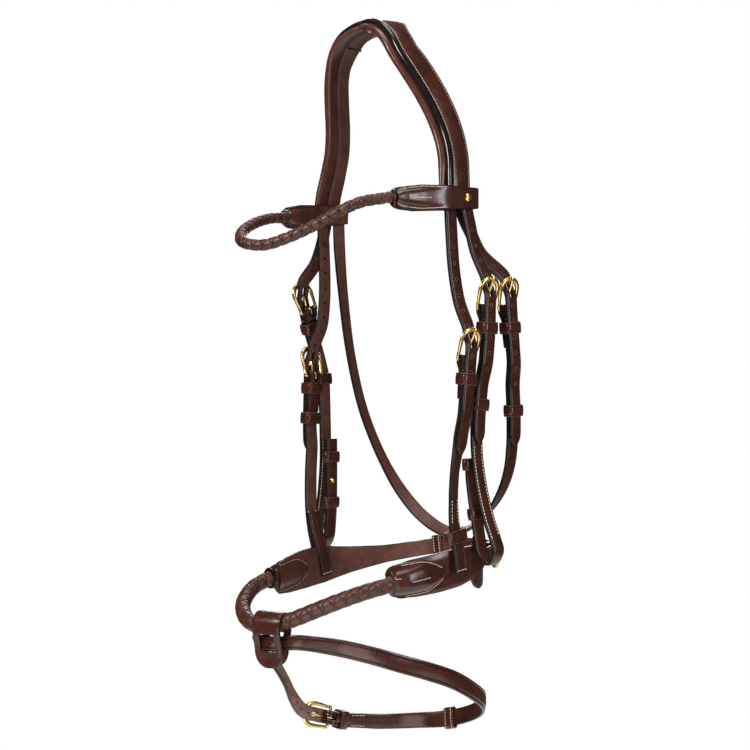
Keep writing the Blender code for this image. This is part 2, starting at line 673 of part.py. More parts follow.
def chin_off_panel(chin, points, heights):
    """The off panel with its long chin strap, folded round the chin buckle's bar."""
    route = chin.route
    centres, across, widths = [], [], []
    for s in np.linspace(chin.fold, 0, 6):
        place, _, out, side = route.at(s)
        centres.append(place - out * FOLD_RADIUS)
        across.append(-side)
        widths.append(chin.width)
    for k in range(1, 6):
        angle = math.pi * k / 6
        centres.append(chin.local(-FOLD_RADIUS * math.sin(angle), -FOLD_RADIUS * math.cos(angle)))
        across.append(-chin.side)
        widths.append(chin.width)
    knots = np.concatenate([[0], np.cumsum(np.linalg.norm(np.diff(np.array(points), axis=0), axis=1))])
    knots = knots / knots[-1] * route.along[-1]
    for s in np.linspace(0, route.along[-1], round(route.along[-1] / 9)):
        place, _, out, side = route.at(s)
        centres.append(place + out * chin.lift(s))
        across.append(-side)
        widths.append(np.interp(s, knots, heights))
    obj = ribbon("off_noseband_panel", centres, across, widths, STRAP_THICK, LEATHER)
    cut(obj, *block(chin.local(-0.4, 0), (chin.down, chin.out, chin.side), (5.8, 6.5, 2.1)))


def near_billet(chin):
    """The near panel, whose rear end narrows to the billet that goes through the chin buckle."""
    panel_y = [point[1] for point in NEAR_PANEL]

    def taper(route):
        widths = []
        for x, y, _ in route.points:
            on_panel = x > 60 and y < 50
            widths.append(np.interp(y, panel_y, NEAR_HEIGHTS) if on_panel else 15.5)
        return widths

    chin.billet("near_noseband_panel", NEAR_PANEL, radial(NEAR_PANEL), 106, LEATHER, 0, 3, taper)


def chin_guard():
    points = [(76, 44, -477), (70.5, 56, -476), (64, 65.5, -475), (56, 74, -474), (46.5, 80.6, -473)]
    route = Route(points, radial(points), step=6)
    count = len(route.points)
    widths = 46 * np.sqrt(np.clip(1 - np.linspace(-0.93, 0.93, count) ** 2, 0.05, 1))
    ribbon("chin_guard", route.points, route.across, widths, 2.6, LINING)


# ---------------------------------------------------------------- flash

def flash():
    # Tab: folded over the nose cord, with a window through both layers.
    cord, _, _, _ = curve(NOSE_CORD, 4.0)
    nearest = int(np.argmin(np.abs(cord[:, 0] + 1)))
    place = cord[nearest]
    width_axis = unit(tangents(cord)[nearest] * (1, 1, 0))
    front = np.array([-width_axis[1], width_axis[0], 0])
    down = np.array([0.0, 0.0, -1.0])
    reach = NOSE_CORD_RADIUS + 5.4
    points, widths = [], []
    layer = [(37.5, 3.6, 11), (35, 3.7, 21), (31.5, 3.9, 26), (25.5, 4.7, 27), (18, 6.4, 27),
             (9, 10.3, 27)]
    for depth, half_gap, width in layer:
        points.append(place + down * depth + front * half_gap)
        widths.append(width)
    for k in range(0, 7):
        angle = math.pi * k / 6
        points.append(place + front * reach * math.cos(angle) - down * reach * math.sin(angle))
        widths.append(27)
    for depth, half_gap, width in reversed(layer):
        points.append(place + down * depth - front * half_gap)
        widths.append(width)
    across = [width_axis] * len(points)
    tab = ribbon("flash_tab", points, across, widths, 2.4, LEATHER)
    cut(tab, *block(place + down * 15.6, (down, front, width_axis), (8.0, 14, 7.6)))

    # Strap: from its buckle on the off side, round behind, along the near side and into the tab.
    window = place + down * 15.6
    strap_points = [(-61, -11, -631), (-63.5, 9, -637), (-63, 35, -641.5), (-57, 62, -644),
                    (-42, 84, -643.5), (-18, 96.5, -640), (8, 101, -632), (30, 98, -622),
                    (48, 84, -610.5), (59, 60, -597), (63.5, 32, -583), (63, 4, -572.5),
                    (56, -24, -563), (45, -50, -554), (30, -74, -547),
                    tuple(window - width_axis * 24 - front * 2 - down * 1.5),
                    tuple(window - width_axis * 12), tuple(window), tuple(window + width_axis * 12)]
    outs = radial(strap_points, centre=(0, -5))
    outs[-4:] = [tuple(front)] * 4
    for k in range(5, 12):
        outs[k] = (outs[k][0], outs[k][1], -0.25)
    strap = Buckled(Route(strap_points, outs), fold=40.0)
    strap.strap("flash_strap", LEATHER)
    strap.buckle("flash_buckle")
    strap.tongue("flash_tongue")
    upper = [tuple(window + width_axis * 18.5 - front * 3 + down * 1.5),
             tuple(window + width_axis * 18.5 - front * 10 + down * 6), (-25, -99, -566),
             (-31, -84, -583), (-42, -68, -601), (-52, -51, -616)]
    upper_outs = [tuple(unit(front + 0.6 * width_axis)), (-0.9, -0.4, -0.1), (-0.8, -0.55, -0.2),
                  (-0.8, -0.5, -0.2), (-0.9, -0.35, -0.1), (-1, -0.15, 0)]
    strap.billet("flash_billet", upper, upper_outs, 74, LEATHER, 3, 2)
    keeper("flash_keeper", 20.0, strap, length=9.5)
    keeper("flash_rear_keeper", 136.0, strap, with_billet=False, length=11, fit=0.6)


# ---------------------------------------------------------------- joints

def pivot(name, position, members):
    """An empty on a joint's axis that carries one moving group of pieces."""
    empty = bpy.data.objects.new(name, None)
    empty.location = [value * MM for value in position]
    bpy.context.scene.collection.objects.link(empty)
    for member in members:
        obj = bpy.data.objects[member]
        obj.location = [a - b for a, b in zip(obj.location, empty.location)]
        obj.parent = empty


def pivots():
    pivot("browband_slide", (0, 0, -158), [
        "browband_plait", "near_browband_end", "off_browband_end", "near_browband_stud"])
    noseband_pieces = ["noseband_plait", "near_noseband_panel", "off_noseband_panel",
                       "near_noseband_boot", "off_noseband_boot", "chin_buckle", "chin_keeper",
                       "chin_guard"]
    for side in ("near", "off"):
        noseband_pieces.append(side + "_noseband_billet")
        for piece in ("strap", "buckle", "keeper", "lower_keeper"):
            noseband_pieces.append(side + "_hanger_" + piece)
    pivot("noseband_pivot", (0, NOSEBAND_PIVOT_Y, PIVOT_Z), noseband_pieces)
    for side, sign in (("near", 1), ("off", -1)):
        pieces = [side + "_cheek_" + piece for piece in ("billet", "strap", "buckle", "keeper")]
        pieces += [side + "_bit_loop_" + piece for piece in ("upper_keeper", "lower_keeper", "stud")]
        pivot(side + "_cheek_pivot", (sign * CHEEK_PIVOT_X, 16, PIVOT_Z), pieces)
    pivot("throatlash_pivot", (0, THROATLASH_PIVOT_Y, PIVOT_Z), [
        "near_throat_billet", "throatlash_strap", "throatlash_buckle", "throatlash_keeper"])
    pivot("flash_pivot", FLASH_PIVOT, [
        "flash_tab", "flash_strap", "flash_buckle", "flash_billet", "flash_keeper",
        "flash_rear_keeper"])


def main():
    clear_scene()
    crown()
    browband()
    hangers()
    cheekpieces()
    throatlash()
    noseband()
    chin_guard()
    flash()
    pivots()


main()
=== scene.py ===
import math

import bmesh
import bpy
import numpy as np
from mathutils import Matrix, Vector


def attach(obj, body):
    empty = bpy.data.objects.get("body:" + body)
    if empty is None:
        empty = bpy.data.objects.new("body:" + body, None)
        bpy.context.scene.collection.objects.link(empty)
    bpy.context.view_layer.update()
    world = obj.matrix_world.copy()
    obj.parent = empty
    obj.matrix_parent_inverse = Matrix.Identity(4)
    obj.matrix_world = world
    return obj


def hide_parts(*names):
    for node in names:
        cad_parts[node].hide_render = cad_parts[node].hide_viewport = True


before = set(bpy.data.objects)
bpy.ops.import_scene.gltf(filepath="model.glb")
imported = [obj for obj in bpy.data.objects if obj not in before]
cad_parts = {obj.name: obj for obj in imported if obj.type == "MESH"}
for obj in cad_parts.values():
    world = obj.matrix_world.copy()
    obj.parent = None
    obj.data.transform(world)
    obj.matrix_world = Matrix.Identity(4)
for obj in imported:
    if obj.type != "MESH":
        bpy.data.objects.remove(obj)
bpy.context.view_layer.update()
scene = bpy.context.scene

# Sizes are in millimetres.
MM = 0.001
STRAP_WIDTH = 13.0
STRAP_THICK = 2.8
GAP = 0.4
BILLET_GAP = GAP + 0.3
CROWN_HALF_WIDTH = 10.0
CROWN_POLL_SCALE = 1.3
BILLET_TOP_Z = -161.4
NOSE_CORD_RADIUS = 6.5
WIRE_RADIUS = 1.5
TONGUE_RADIUS = 1.2
FOLD_RADIUS = WIRE_RADIUS + GAP + STRAP_THICK / 2
FOLD_LENGTH = 44.0
FOLD_EASE = 10.0
TURNED_POINTS, BAR_POINTS = 18, 13
OUTER_START = 2.5
LAYER_SPACE = 0.15
BAR_ROW = 9.0
STITCH_INSET = 2.1
SLOT_SIDES, HOLE_SIDES = 16, 14
LIFT_FADE = 26.0
BUCKLE_HALF_WIDTH = 9.3
BUCKLE_HEIGHT = 27.5
BUCKLE_TILT = math.radians(15)
BILLET_RISE = FOLD_RADIUS + STRAP_THICK + GAP
TIP_LENGTH = 11.0
HOLE_PITCH = 14.0
HOLE_RADIUS = 1.2
KEEPER_WALL = 1.7
KEEPER_LENGTH = 10.5
KEEPER_CORNER = 2.4
CORNER_STEPS = 5
BIT_LOOP_KEEPERS_Z = (("upper", -389.5), ("lower", -433.0))
BIT_LOOP_STUD_Z = -412.0
STRANDS, STRAND_SIDES = 2, 28
BOOT_LENGTH = 54.0
BOOT_HALF_WIDTH = 15.2
BROW_WALL = 0.85
SHARP_ANGLE = math.radians(38)
ROLL_START = np.array([0.21, 0.35, 0.91])
OUT_NEAR = (1, 0, 0)
OUT_OFF = (-1, 0, 0)

# Rows of stitches: pitch, stitch length and thread radius.
STRAP_STITCH = (3.0, 2.1, 0.36)
BAR_STITCH = (2.2, 2.0, 0.42)
FOOT_STITCH = (2.2, 1.7, 0.36)
KEEPER_STITCH = (2.6, 1.9, 0.33)
CROWN_STITCH = (2.3, 1.6, 0.32)
BROW_STITCH = (2.1, 1.6, 0.34)
BOOT_STITCH = (2.2, 1.65, 0.36)
MOUTH_STITCH = (1.7, 1.3, 0.36)
LINING_STITCH = (2.4, 1.5, 0.24)


# --- materials

def new_material(name):
    mat = bpy.data.materials.new(name)
    mat.use_nodes = True
    tree = mat.node_tree
    return mat, tree, tree.nodes["Principled BSDF"]


def texture(tree, kind, **inputs):
    """A texture laid by the object's own coordinates."""
    made = tree.nodes.new(kind)
    for key, value in inputs.items():
        made.inputs[key].default_value = value
    coords = tree.nodes.get("Texture Coordinate") or tree.nodes.new("ShaderNodeTexCoord")
    tree.links.new(coords.outputs["Object"], made.inputs["Vector"])
    return made


def ramp(tree, source, target, *stops):
    """Colours target by where source falls between two stops, and returns the ramp's output."""
    made = tree.nodes.new("ShaderNodeValToRGB")
    for point, (place, colour) in zip(made.color_ramp.elements, stops):
        point.position = place
        point.color = (*colour, 1.0)
    tree.links.new(source, made.inputs["Fac"])
    if target is not None:
        tree.links.new(made.outputs["Color"], target)
    return made.outputs["Color"]


def grey(value):
    return (value, value, value)


def bump(tree, shader, height, strength, distance, after=None):
    made = tree.nodes.new("ShaderNodeBump")
    made.inputs["Strength"].default_value = strength
    made.inputs["Distance"].default_value = distance
    tree.links.new(height, made.inputs["Height"])
    if after is not None:
        tree.links.new(after, made.inputs["Normal"])
    tree.links.new(made.outputs["Normal"], shader.inputs["Normal"])
    return made.outputs["Normal"]


def leather(name, dark, light, rough, coat, grain_scale, grain, mottle=70.0, cavity=False):
    """Finished leather: pebbled grain, soft creases, uneven dye and polish; with cavity, painted shade in a
    plait's gaps.
    """
    mat, tree, shader = new_material(name)
    cloud = texture(tree, "ShaderNodeTexNoise", Scale=mottle, Detail=5.0, Roughness=0.6)
    colour = ramp(tree, cloud.outputs["Fac"], None, (0.32, dark), (0.7, light))
    # With cavity set, the colour falls to near black where the mesh's 'cavity' attribute is low: painted
    # shade in the gaps between a plait's strands.
    if cavity:
        attribute = tree.nodes.new("ShaderNodeAttribute")
        attribute.attribute_name = "cavity"
        mix = tree.nodes.new("ShaderNodeMix")
        mix.data_type = "RGBA"
        mix.inputs["A"].default_value = (0.006, 0.004, 0.004, 1.0)
        tree.links.new(attribute.outputs["Fac"], mix.inputs["Factor"])
        tree.links.new(colour, mix.inputs["B"])
        colour = mix.outputs["Result"]
    tree.links.new(colour, shader.inputs["Base Color"])
    polish = texture(tree, "ShaderNodeTexNoise", Scale=260.0, Detail=3.0)
    ramp(tree, polish.outputs["Fac"], shader.inputs["Roughness"],
         (0.3, grey(rough - 0.06)), (0.75, grey(rough + 0.1)))
    pebble = texture(tree, "ShaderNodeTexVoronoi", Scale=grain_scale)
    first = bump(tree, shader, pebble.outputs["Distance"], grain, 0.00012)
    crease = texture(tree, "ShaderNodeTexNoise", Scale=420.0, Detail=6.0, Roughness=0.65)
    bump(tree, shader, crease.outputs["Fac"], grain * 0.8, 0.00035, first)
    shader.inputs["Coat Weight"].default_value = coat
    shader.inputs["Coat Roughness"].default_value = 0.16
    shader.inputs["Specular IOR Level"].default_value = 0.36
    return mat


def brass_material():
    mat, tree, shader = new_material("polished_brass")
    tarnish = texture(tree, "ShaderNodeTexNoise", Scale=180.0, Detail=4.0).outputs["Fac"]
    ramp(tree, tarnish, shader.inputs["Base Color"], (0.3, (0.60, 0.39, 0.115)), (0.65, (0.74, 0.53, 0.20)))
    ramp(tree, tarnish, shader.inputs["Roughness"], (0.3, grey(0.30)), (0.7, grey(0.22)))
    scratch = texture(tree, "ShaderNodeTexNoise", Scale=1400.0, Detail=2.0)
    bump(tree, shader, scratch.outputs["Fac"], 0.03, 0.0001)
    shader.inputs["Metallic"].default_value = 1.0
    return mat


def thread_material():
    mat, tree, shader = new_material("waxed_thread")
    twist = texture(tree, "ShaderNodeTexWave", Scale=1200.0, Distortion=2.0).outputs["Fac"]
    ramp(tree, twist, shader.inputs["Base Color"], (0.2, (0.50, 0.40, 0.27)), (0.7, (0.80, 0.72, 0.57)))
    bump(tree, shader, twist, 0.4, 0.0001)
    shader.inputs["Roughness"].default_value = 0.6
    return mat


# Faces refer to these by number, in this order.
SKINS = [
    leather("bridle_leather_grain", (0.028, 0.0056, 0.0028), (0.060, 0.0130, 0.0062), 0.27, 0.24, 1500.0,
            0.09, 45.0),
    leather("bridle_leather_edge", (0.004, 0.0028, 0.0026), (0.0095, 0.006, 0.005), 0.34, 0.05, 2200.0, 0.03),
    leather("bridle_leather_flesh", (0.058, 0.018, 0.011), (0.118, 0.038, 0.023), 0.5, 0.05, 2400.0, 0.5,
            120.0),
    thread_material(),
    leather("soft_lining", (0.050, 0.016, 0.010), (0.095, 0.032, 0.020), 0.42, 0.08, 1900.0, 0.5),
    leather("crown_roll_leather", (0.056, 0.015, 0.009), (0.094, 0.026, 0.016), 0.32, 0.25, 1900.0, 0.3),
    leather("patent_piping", (0.005, 0.004, 0.005), (0.012, 0.008, 0.009), 0.12, 0.3, 1200.0, 0.08),
    leather("plaited_leather", (0.030, 0.0078, 0.0042), (0.095, 0.027, 0.014), 0.42, 0.0, 1500.0, 0.08, 110.0,
            True),
    brass_material(),
    # Tan leather for the flash billet's underside; the tan rings round punched holes are a painted highlight.
    leather("tan_leather_and_painted_hole_highlight", (0.13, 0.062, 0.042), (0.23, 0.125, 0.088), 0.5, 0.05, 2400.0, 0.5, 120.0),
]
GRAIN, EDGE, FLESH, THREAD, LINING, ROLL, PIPING, PLAIT, BRASS, TAN = range(10)


# --- mesh helpers

def unit(vector):
    vector = np.asarray(vector, float)
    return vector / np.linalg.norm(vector)


def ease(value):
    value = np.clip(value, 0, 1)
    return value * value * (3 - 2 * value)


def lengths_along(points):
    """Each point's distance from the first, along the line of points."""
    return np.concatenate([[0.0], np.cumsum(np.linalg.norm(np.diff(points, axis=0), axis=1))])


def between(wanted, spots, values):
    """Interpolates rows of three values."""
    return np.array([np.interp(wanted, spots, values[:, k]) for k in range(3)]).T


def ring_of(centre, side, other, radius, count):
    """Points of a circle; of an ellipse where side and other are not unit vectors."""
    turns = [2 * math.pi * k / count for k in range(count)]
    return [centre + radius * (math.cos(turn) * side + math.sin(turn) * other) for turn in turns]


def tube_faces(rings, size, closed=False):
    """Quads between rings of equal size, and a cap on each open end."""
    faces = []
    for i in range(rings if closed else rings - 1):
        here, ahead = size * i, size * ((i + 1) % rings)
        for k in range(size):
            j = (k + 1) % size
            faces.append((here + k, here + j, ahead + j, ahead + k))
    if not closed:
        faces += [tuple(reversed(range(size))), tuple(range(size * (rings - 1), size * rings))]
    return faces


class Shape:
    """Collects vertices, faces and material numbers, in millimetres, and makes one object."""

    def __init__(self):
        self.verts, self.faces, self.mats, self.cavity = [], [], [], []
        self.cut_upto = None

    def add(self, verts, faces, mats, cavity=None):
        start = len(self.verts)
        self.verts += [tuple(v) for v in verts]
        self.faces += [tuple(start + k for k in face) for face in faces]
        self.mats += [mats] * len(faces) if isinstance(mats, int) else list(mats)
        self.cavity += [1.0] * len(verts) if cavity is None else list(cavity)

    def stitch(self, place, along, out, length, radius):
        side = np.cross(along, out)
        verts = []
        for end, size in ((-0.5, 0.45), (-0.28, 1.0), (0.28, 1.0), (0.5, 0.45)):
            verts += ring_of(place + along * end * length, side, out, size * radius, 5)
        self.add(verts, tube_faces(4, 5), THREAD)

    def stitch_row(self, points, outs, style):
        """Evenly spaced stitches on a line of points, each lying along the line."""
        pitch, length, radius = style
        points, outs = np.asarray(points, float), np.asarray(outs, float)
        lengths = lengths_along(points)
        for s in np.arange(pitch / 2, lengths[-1], pitch):
            ahead, behind = between(s + 0.6, lengths, points), between(s - 0.6, lengths, points)
            self.stitch(between(s, lengths, points), unit(ahead - behind),
                        unit(between(s, lengths, outs)), length, radius)

    def stitch_across(self, centre, out, side, half, style):
        self.stitch_row([centre - side * half, centre + side * half], [out, out], style)

    def rows_on(self, frames, offset, height, style, first=0, last=None):
        """A stitch row beside the middle of a sweep; offset and height may vary along it."""
        offset, height = np.broadcast_to(offset, len(frames)), np.broadcast_to(height, len(frames))
        points = [p + side * a + out * b for (p, _, out, side), a, b in zip(frames, offset, height)]
        chosen = points[first:last]
        if len(chosen) > 2:
            self.stitch_row(chosen, [out for _, _, out, _ in frames[first:last]], style)

    def body_done(self):
        """Marks what has been added so far as the body that holes are cut from."""
        self.cut_upto = (len(self.verts), len(self.faces))

    def make(self, name, body, cutters=(), in_cad=True):
        """Makes v_NAME on a body; in_cad says that it stands for the CAD node NAME."""
        used = sorted(set(self.mats) | ({EDGE} if cutters else set()))
        lookup = {number: k for k, number in enumerate(used)}
        verts = [(x * MM, y * MM, z * MM) for x, y, z in self.verts]
        mats = [lookup[m] for m in self.mats]
        vert_end, face_end = self.cut_upto or (len(verts), len(self.faces))
        mesh = closed_mesh("v_" + name, verts[:vert_end], self.faces[:face_end], mats[:face_end], used)
        # The 'cavity' attribute carries the painted shade of a plait's gaps, from 1.0 (none) down to 0.0
        # (near black).
        if min(self.cavity) < 1.0:
            layer = mesh.attributes.new("cavity", "FLOAT", "POINT")
            layer.data.foreach_set("value", self.cavity)
        obj = bpy.data.objects.new("v_" + name, mesh)
        scene.collection.objects.link(obj)
        if cutters:
            punch(obj, cutters, lookup[EDGE])
        if face_end < len(self.faces):
            rest = [tuple(v - vert_end for v in face) for face in self.faces[face_end:]]
            extra = closed_mesh("extra", verts[vert_end:], rest, mats[face_end:], used)
            work = bmesh.new()
            work.from_mesh(obj.data)
            work.from_mesh(extra)
            work.to_mesh(obj.data)
            work.free()
            bpy.data.meshes.remove(extra)
        obj.data.shade_smooth()
        obj.data.set_sharp_from_angle(angle=SHARP_ANGLE)
        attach(obj, body)
        if in_cad:
            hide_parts(name)
        return obj


def closed_mesh(name, verts, faces, mats, used):
    mesh = bpy.data.meshes.new(name)
    mesh.from_pydata(verts, [], faces)
    for number in used:
        mesh.materials.append(SKINS[number])
    mesh.polygons.foreach_set("material_index", mats)
    work = bmesh.new()
    work.from_mesh(mesh)
    bmesh.ops.recalc_face_normals(work, faces=work.faces)
    work.to_mesh(mesh)
    work.free()
    return mesh


def punch(obj, cutters, slot_index):
    """Cuts every hole in one Boolean; the cut faces take the edge material."""
    whole = Shape()
    for verts, faces in cutters:
        whole.add(np.asarray(verts, float) * MM, faces, slot_index)
    mesh = closed_mesh("cutter", whole.verts, whole.faces, whole.mats, [])
    for mat in obj.data.materials:
        mesh.materials.append(mat)
    mesh.polygons.foreach_set("material_index", whole.mats)
    tool = bpy.data.objects.new("cutter", mesh)
    scene.collection.objects.link(tool)
    modifier = obj.modifiers.new("cut", "BOOLEAN")
    modifier.operation = "DIFFERENCE"
    modifier.solver = "EXACT"
    modifier.object = tool
    result = bpy.data.meshes.new_from_object(obj.evaluated_get(bpy.context.evaluated_depsgraph_get()))
    obj.modifiers.remove(modifier)
    obj.data = result
    bpy.data.objects.remove(tool, do_unlink=True)


def peg(centre, axis, side, radius, half):
    """A round punch."""
    axis = unit(axis)
    side = unit(side - np.dot(side, axis) * axis)
    other = np.cross(axis, side)
    ends = [ring_of(centre + axis * end * half, side, other, radius, HOLE_SIDES) for end in (-1, 1)]
    return ends[0] + ends[1], tube_faces(2, HOLE_SIDES)


def oblong(centre, axes, half_long, half_wide, half_deep):
    """A slot-shaped punch with round ends; axes are along, depth, across."""
    ring = []
    for k in range(SLOT_SIDES):
        angle = 2 * math.pi * (k + 0.5) / SLOT_SIDES
        x = math.copysign(half_long - half_wide, math.cos(angle)) + half_wide * math.cos(angle)
        ring.append(centre + axes[0] * x + axes[2] * half_wide * math.sin(angle))
    return [p + axes[1] * depth for depth in (-half_deep, half_deep) for p in ring], tube_faces(2, SLOT_SIDES)


def curve(points, step):
    """A smooth line through points: even samples, their parameters, the knots and the distances."""
    pts = np.asarray(points, float)
    knots = np.concatenate([[0.0], np.cumsum(np.sqrt(np.linalg.norm(np.diff(pts, axis=0), axis=1)))])
    ends = np.vstack([2 * pts[0] - pts[1], pts, 2 * pts[-1] - pts[-2]])
    dense, params = [], []
    for i in range(len(pts) - 1):
        p0, p1, p2, p3 = ends[i:i + 4]
        t0, t1, t2 = (math.sqrt(np.linalg.norm(b - a)) for a, b in ((p0, p1), (p1, p2), (p2, p3)))
        m1 = ((p1 - p0) / t0 - (p2 - p0) / (t0 + t1) + (p2 - p1) / t1) * t1
        m2 = ((p2 - p1) / t1 - (p3 - p1) / (t1 + t2) + (p3 - p2) / t2) * t1
        for u in np.arange(16) / 16:
            dense.append((2 * u**3 - 3 * u**2 + 1) * p1 + (u**3 - 2 * u**2 + u) * m1
                         + (-2 * u**3 + 3 * u**2) * p2 + (u**3 - u**2) * m2)
            params.append(knots[i] + u * (knots[i + 1] - knots[i]))
    dense = np.array(dense + [pts[-1]])
    params.append(knots[-1])
    length = lengths_along(dense)
    wanted = np.linspace(0, length[-1], max(3, round(length[-1] / step) + 1))
    return between(wanted, length, dense), np.interp(wanted, length, params), knots, wanted


def tangents(points, closed=False):
    points = np.asarray(points, float)
    if closed:
        grad = np.roll(points, -1, axis=0) - np.roll(points, 1, axis=0)
    else:
        grad = np.gradient(points, axis=0)
    return grad / np.linalg.norm(grad, axis=1)[:, None]


def rolled(tangent):
    """Two axes across each tangent, turned as little as possible from one to the next."""
    side = unit(np.cross(tangent[0], ROLL_START))
    for along in tangent:
        side = unit(side - np.dot(side, along) * along)
        yield side, np.cross(along, side)


class Route:
    """A strap's centre line: points, outward directions and the direction across the strap."""

    def __init__(self, points, outward, step=2.6):
        self.points, params, knots, self.along = curve(points, step)
        outs = np.asarray(outward, float)
        if outs.ndim == 1:
            outs = np.tile(outs, (len(points), 1))
        self.tangent = tangents(self.points)
        self.across = np.cross(self.tangent, between(params, knots, outs))
        self.across /= np.linalg.norm(self.across, axis=1)[:, None]
        self.out = np.cross(self.across, self.tangent)
        self.length = self.along[-1]

    def at(self, distance):
        place, *axes = (between(distance, self.along, values)
                        for values in (self.points, self.tangent, self.out, self.across))
        return place, *(unit(axis) for axis in axes)


def radial(points, centre=(0, -10)):
    """Level directions away from centre."""
    return [unit((p[0] - centre[0], p[1] - centre[1], 0)) for p in points]


# --- leather sections

def strap_section(width, thick, style, under_mat=FLESH, rim=EDGE):
    """Points (across, outward, material of the face after it) round a strap's cross-section."""
    h, t = width / 2, thick / 2
    edge = min(0.9, h * 0.35)
    m = min(1.0, h / 4.5)
    top = [(h, -0.25 * t, EDGE), (h - 0.02, 0.3 * t, EDGE), (h - 0.3 * edge, 0.8 * t, EDGE),
           (h - edge * 0.8, t, GRAIN)]
    if style == "raised":
        top += [(h - 1.9 * m, t + 0.02, GRAIN), (h - 2.4 * m, t - 0.42, EDGE),
                (h - 2.8 * m, t - 0.4, GRAIN), (h - 3.5 * m, t + 0.45, GRAIN),
                (h * 0.15, t + 0.75, GRAIN)]
    elif style == "plain":
        top += [(h * 0.6, t + 0.1, GRAIN), (h * 0.2, t + 0.16, GRAIN)]
    else:
        top += [(h - 1.3 * m, t - 0.02, GRAIN), (h - 1.6 * m, t - 0.3, EDGE), (h - 1.9 * m, t, GRAIN),
                (h - 2.8 * m, t + 0.12, GRAIN), (h * 0.2, t + 0.2, GRAIN)]
    left = [(-top[k][0], top[k][1], top[k - 1][2] if k else EDGE) for k in reversed(range(len(top)))]
    under = [(-h + 0.3 * edge, -0.85 * t, EDGE), (-h + edge, -t, under_mat), (-h * 0.3, -t, under_mat),
             (h * 0.3, -t, under_mat), (h - edge, -t, EDGE), (h - 0.3 * edge, -0.85 * t, EDGE)]
    return [(a, b, rim if m == EDGE and abs(a) > h - 1.1 else m) for a, b, m in top + left + under]


def sweep(shape, points, outs, section_at, closed=False):
    """Lofts (across, outward, material) rows along points; returns each point's frame."""
    points = np.asarray(points, float)
    verts, mats, frames = [], [], []
    for i, along in enumerate(tangents(points, closed)):
        out = np.asarray(outs[i], float)
        out = unit(out - np.dot(out, along) * along)
        side = np.cross(along, out)
        section = section_at(i)
        frames.append((points[i], along, out, side))
        verts += [points[i] + side * a + out * b for a, b, _ in section]
        mats.append([m for _, _, m in section])
    face_mats = [m for row in (mats if closed else mats[:-1]) for m in row]
    if not closed:
        face_mats += [EDGE, EDGE]
    shape.add(verts, tube_faces(len(points), len(mats[0]), closed), face_mats)
    return frames


def ring_tube(shape, points, radius, mat, sides, closed=False, flat=1.0, flat_dir=np.zeros(3)):
    """A round bar; radius is one number or one for each point, flat squeezes it along flat_dir."""
    points = np.asarray(points, float)
    sizes = np.broadcast_to(radius, len(points))
    verts = []
    for centre, size, (side, other) in zip(points, sizes, rolled(tangents(points, closed))):
        for ray in ring_of(np.zeros(3), side, other, size, sides):
            verts.append(centre + ray - np.dot(ray, flat_dir) * flat_dir * (1 - flat))
    shape.add(verts, tube_faces(len(points), sides, closed), mat)


# --- straps with buckles

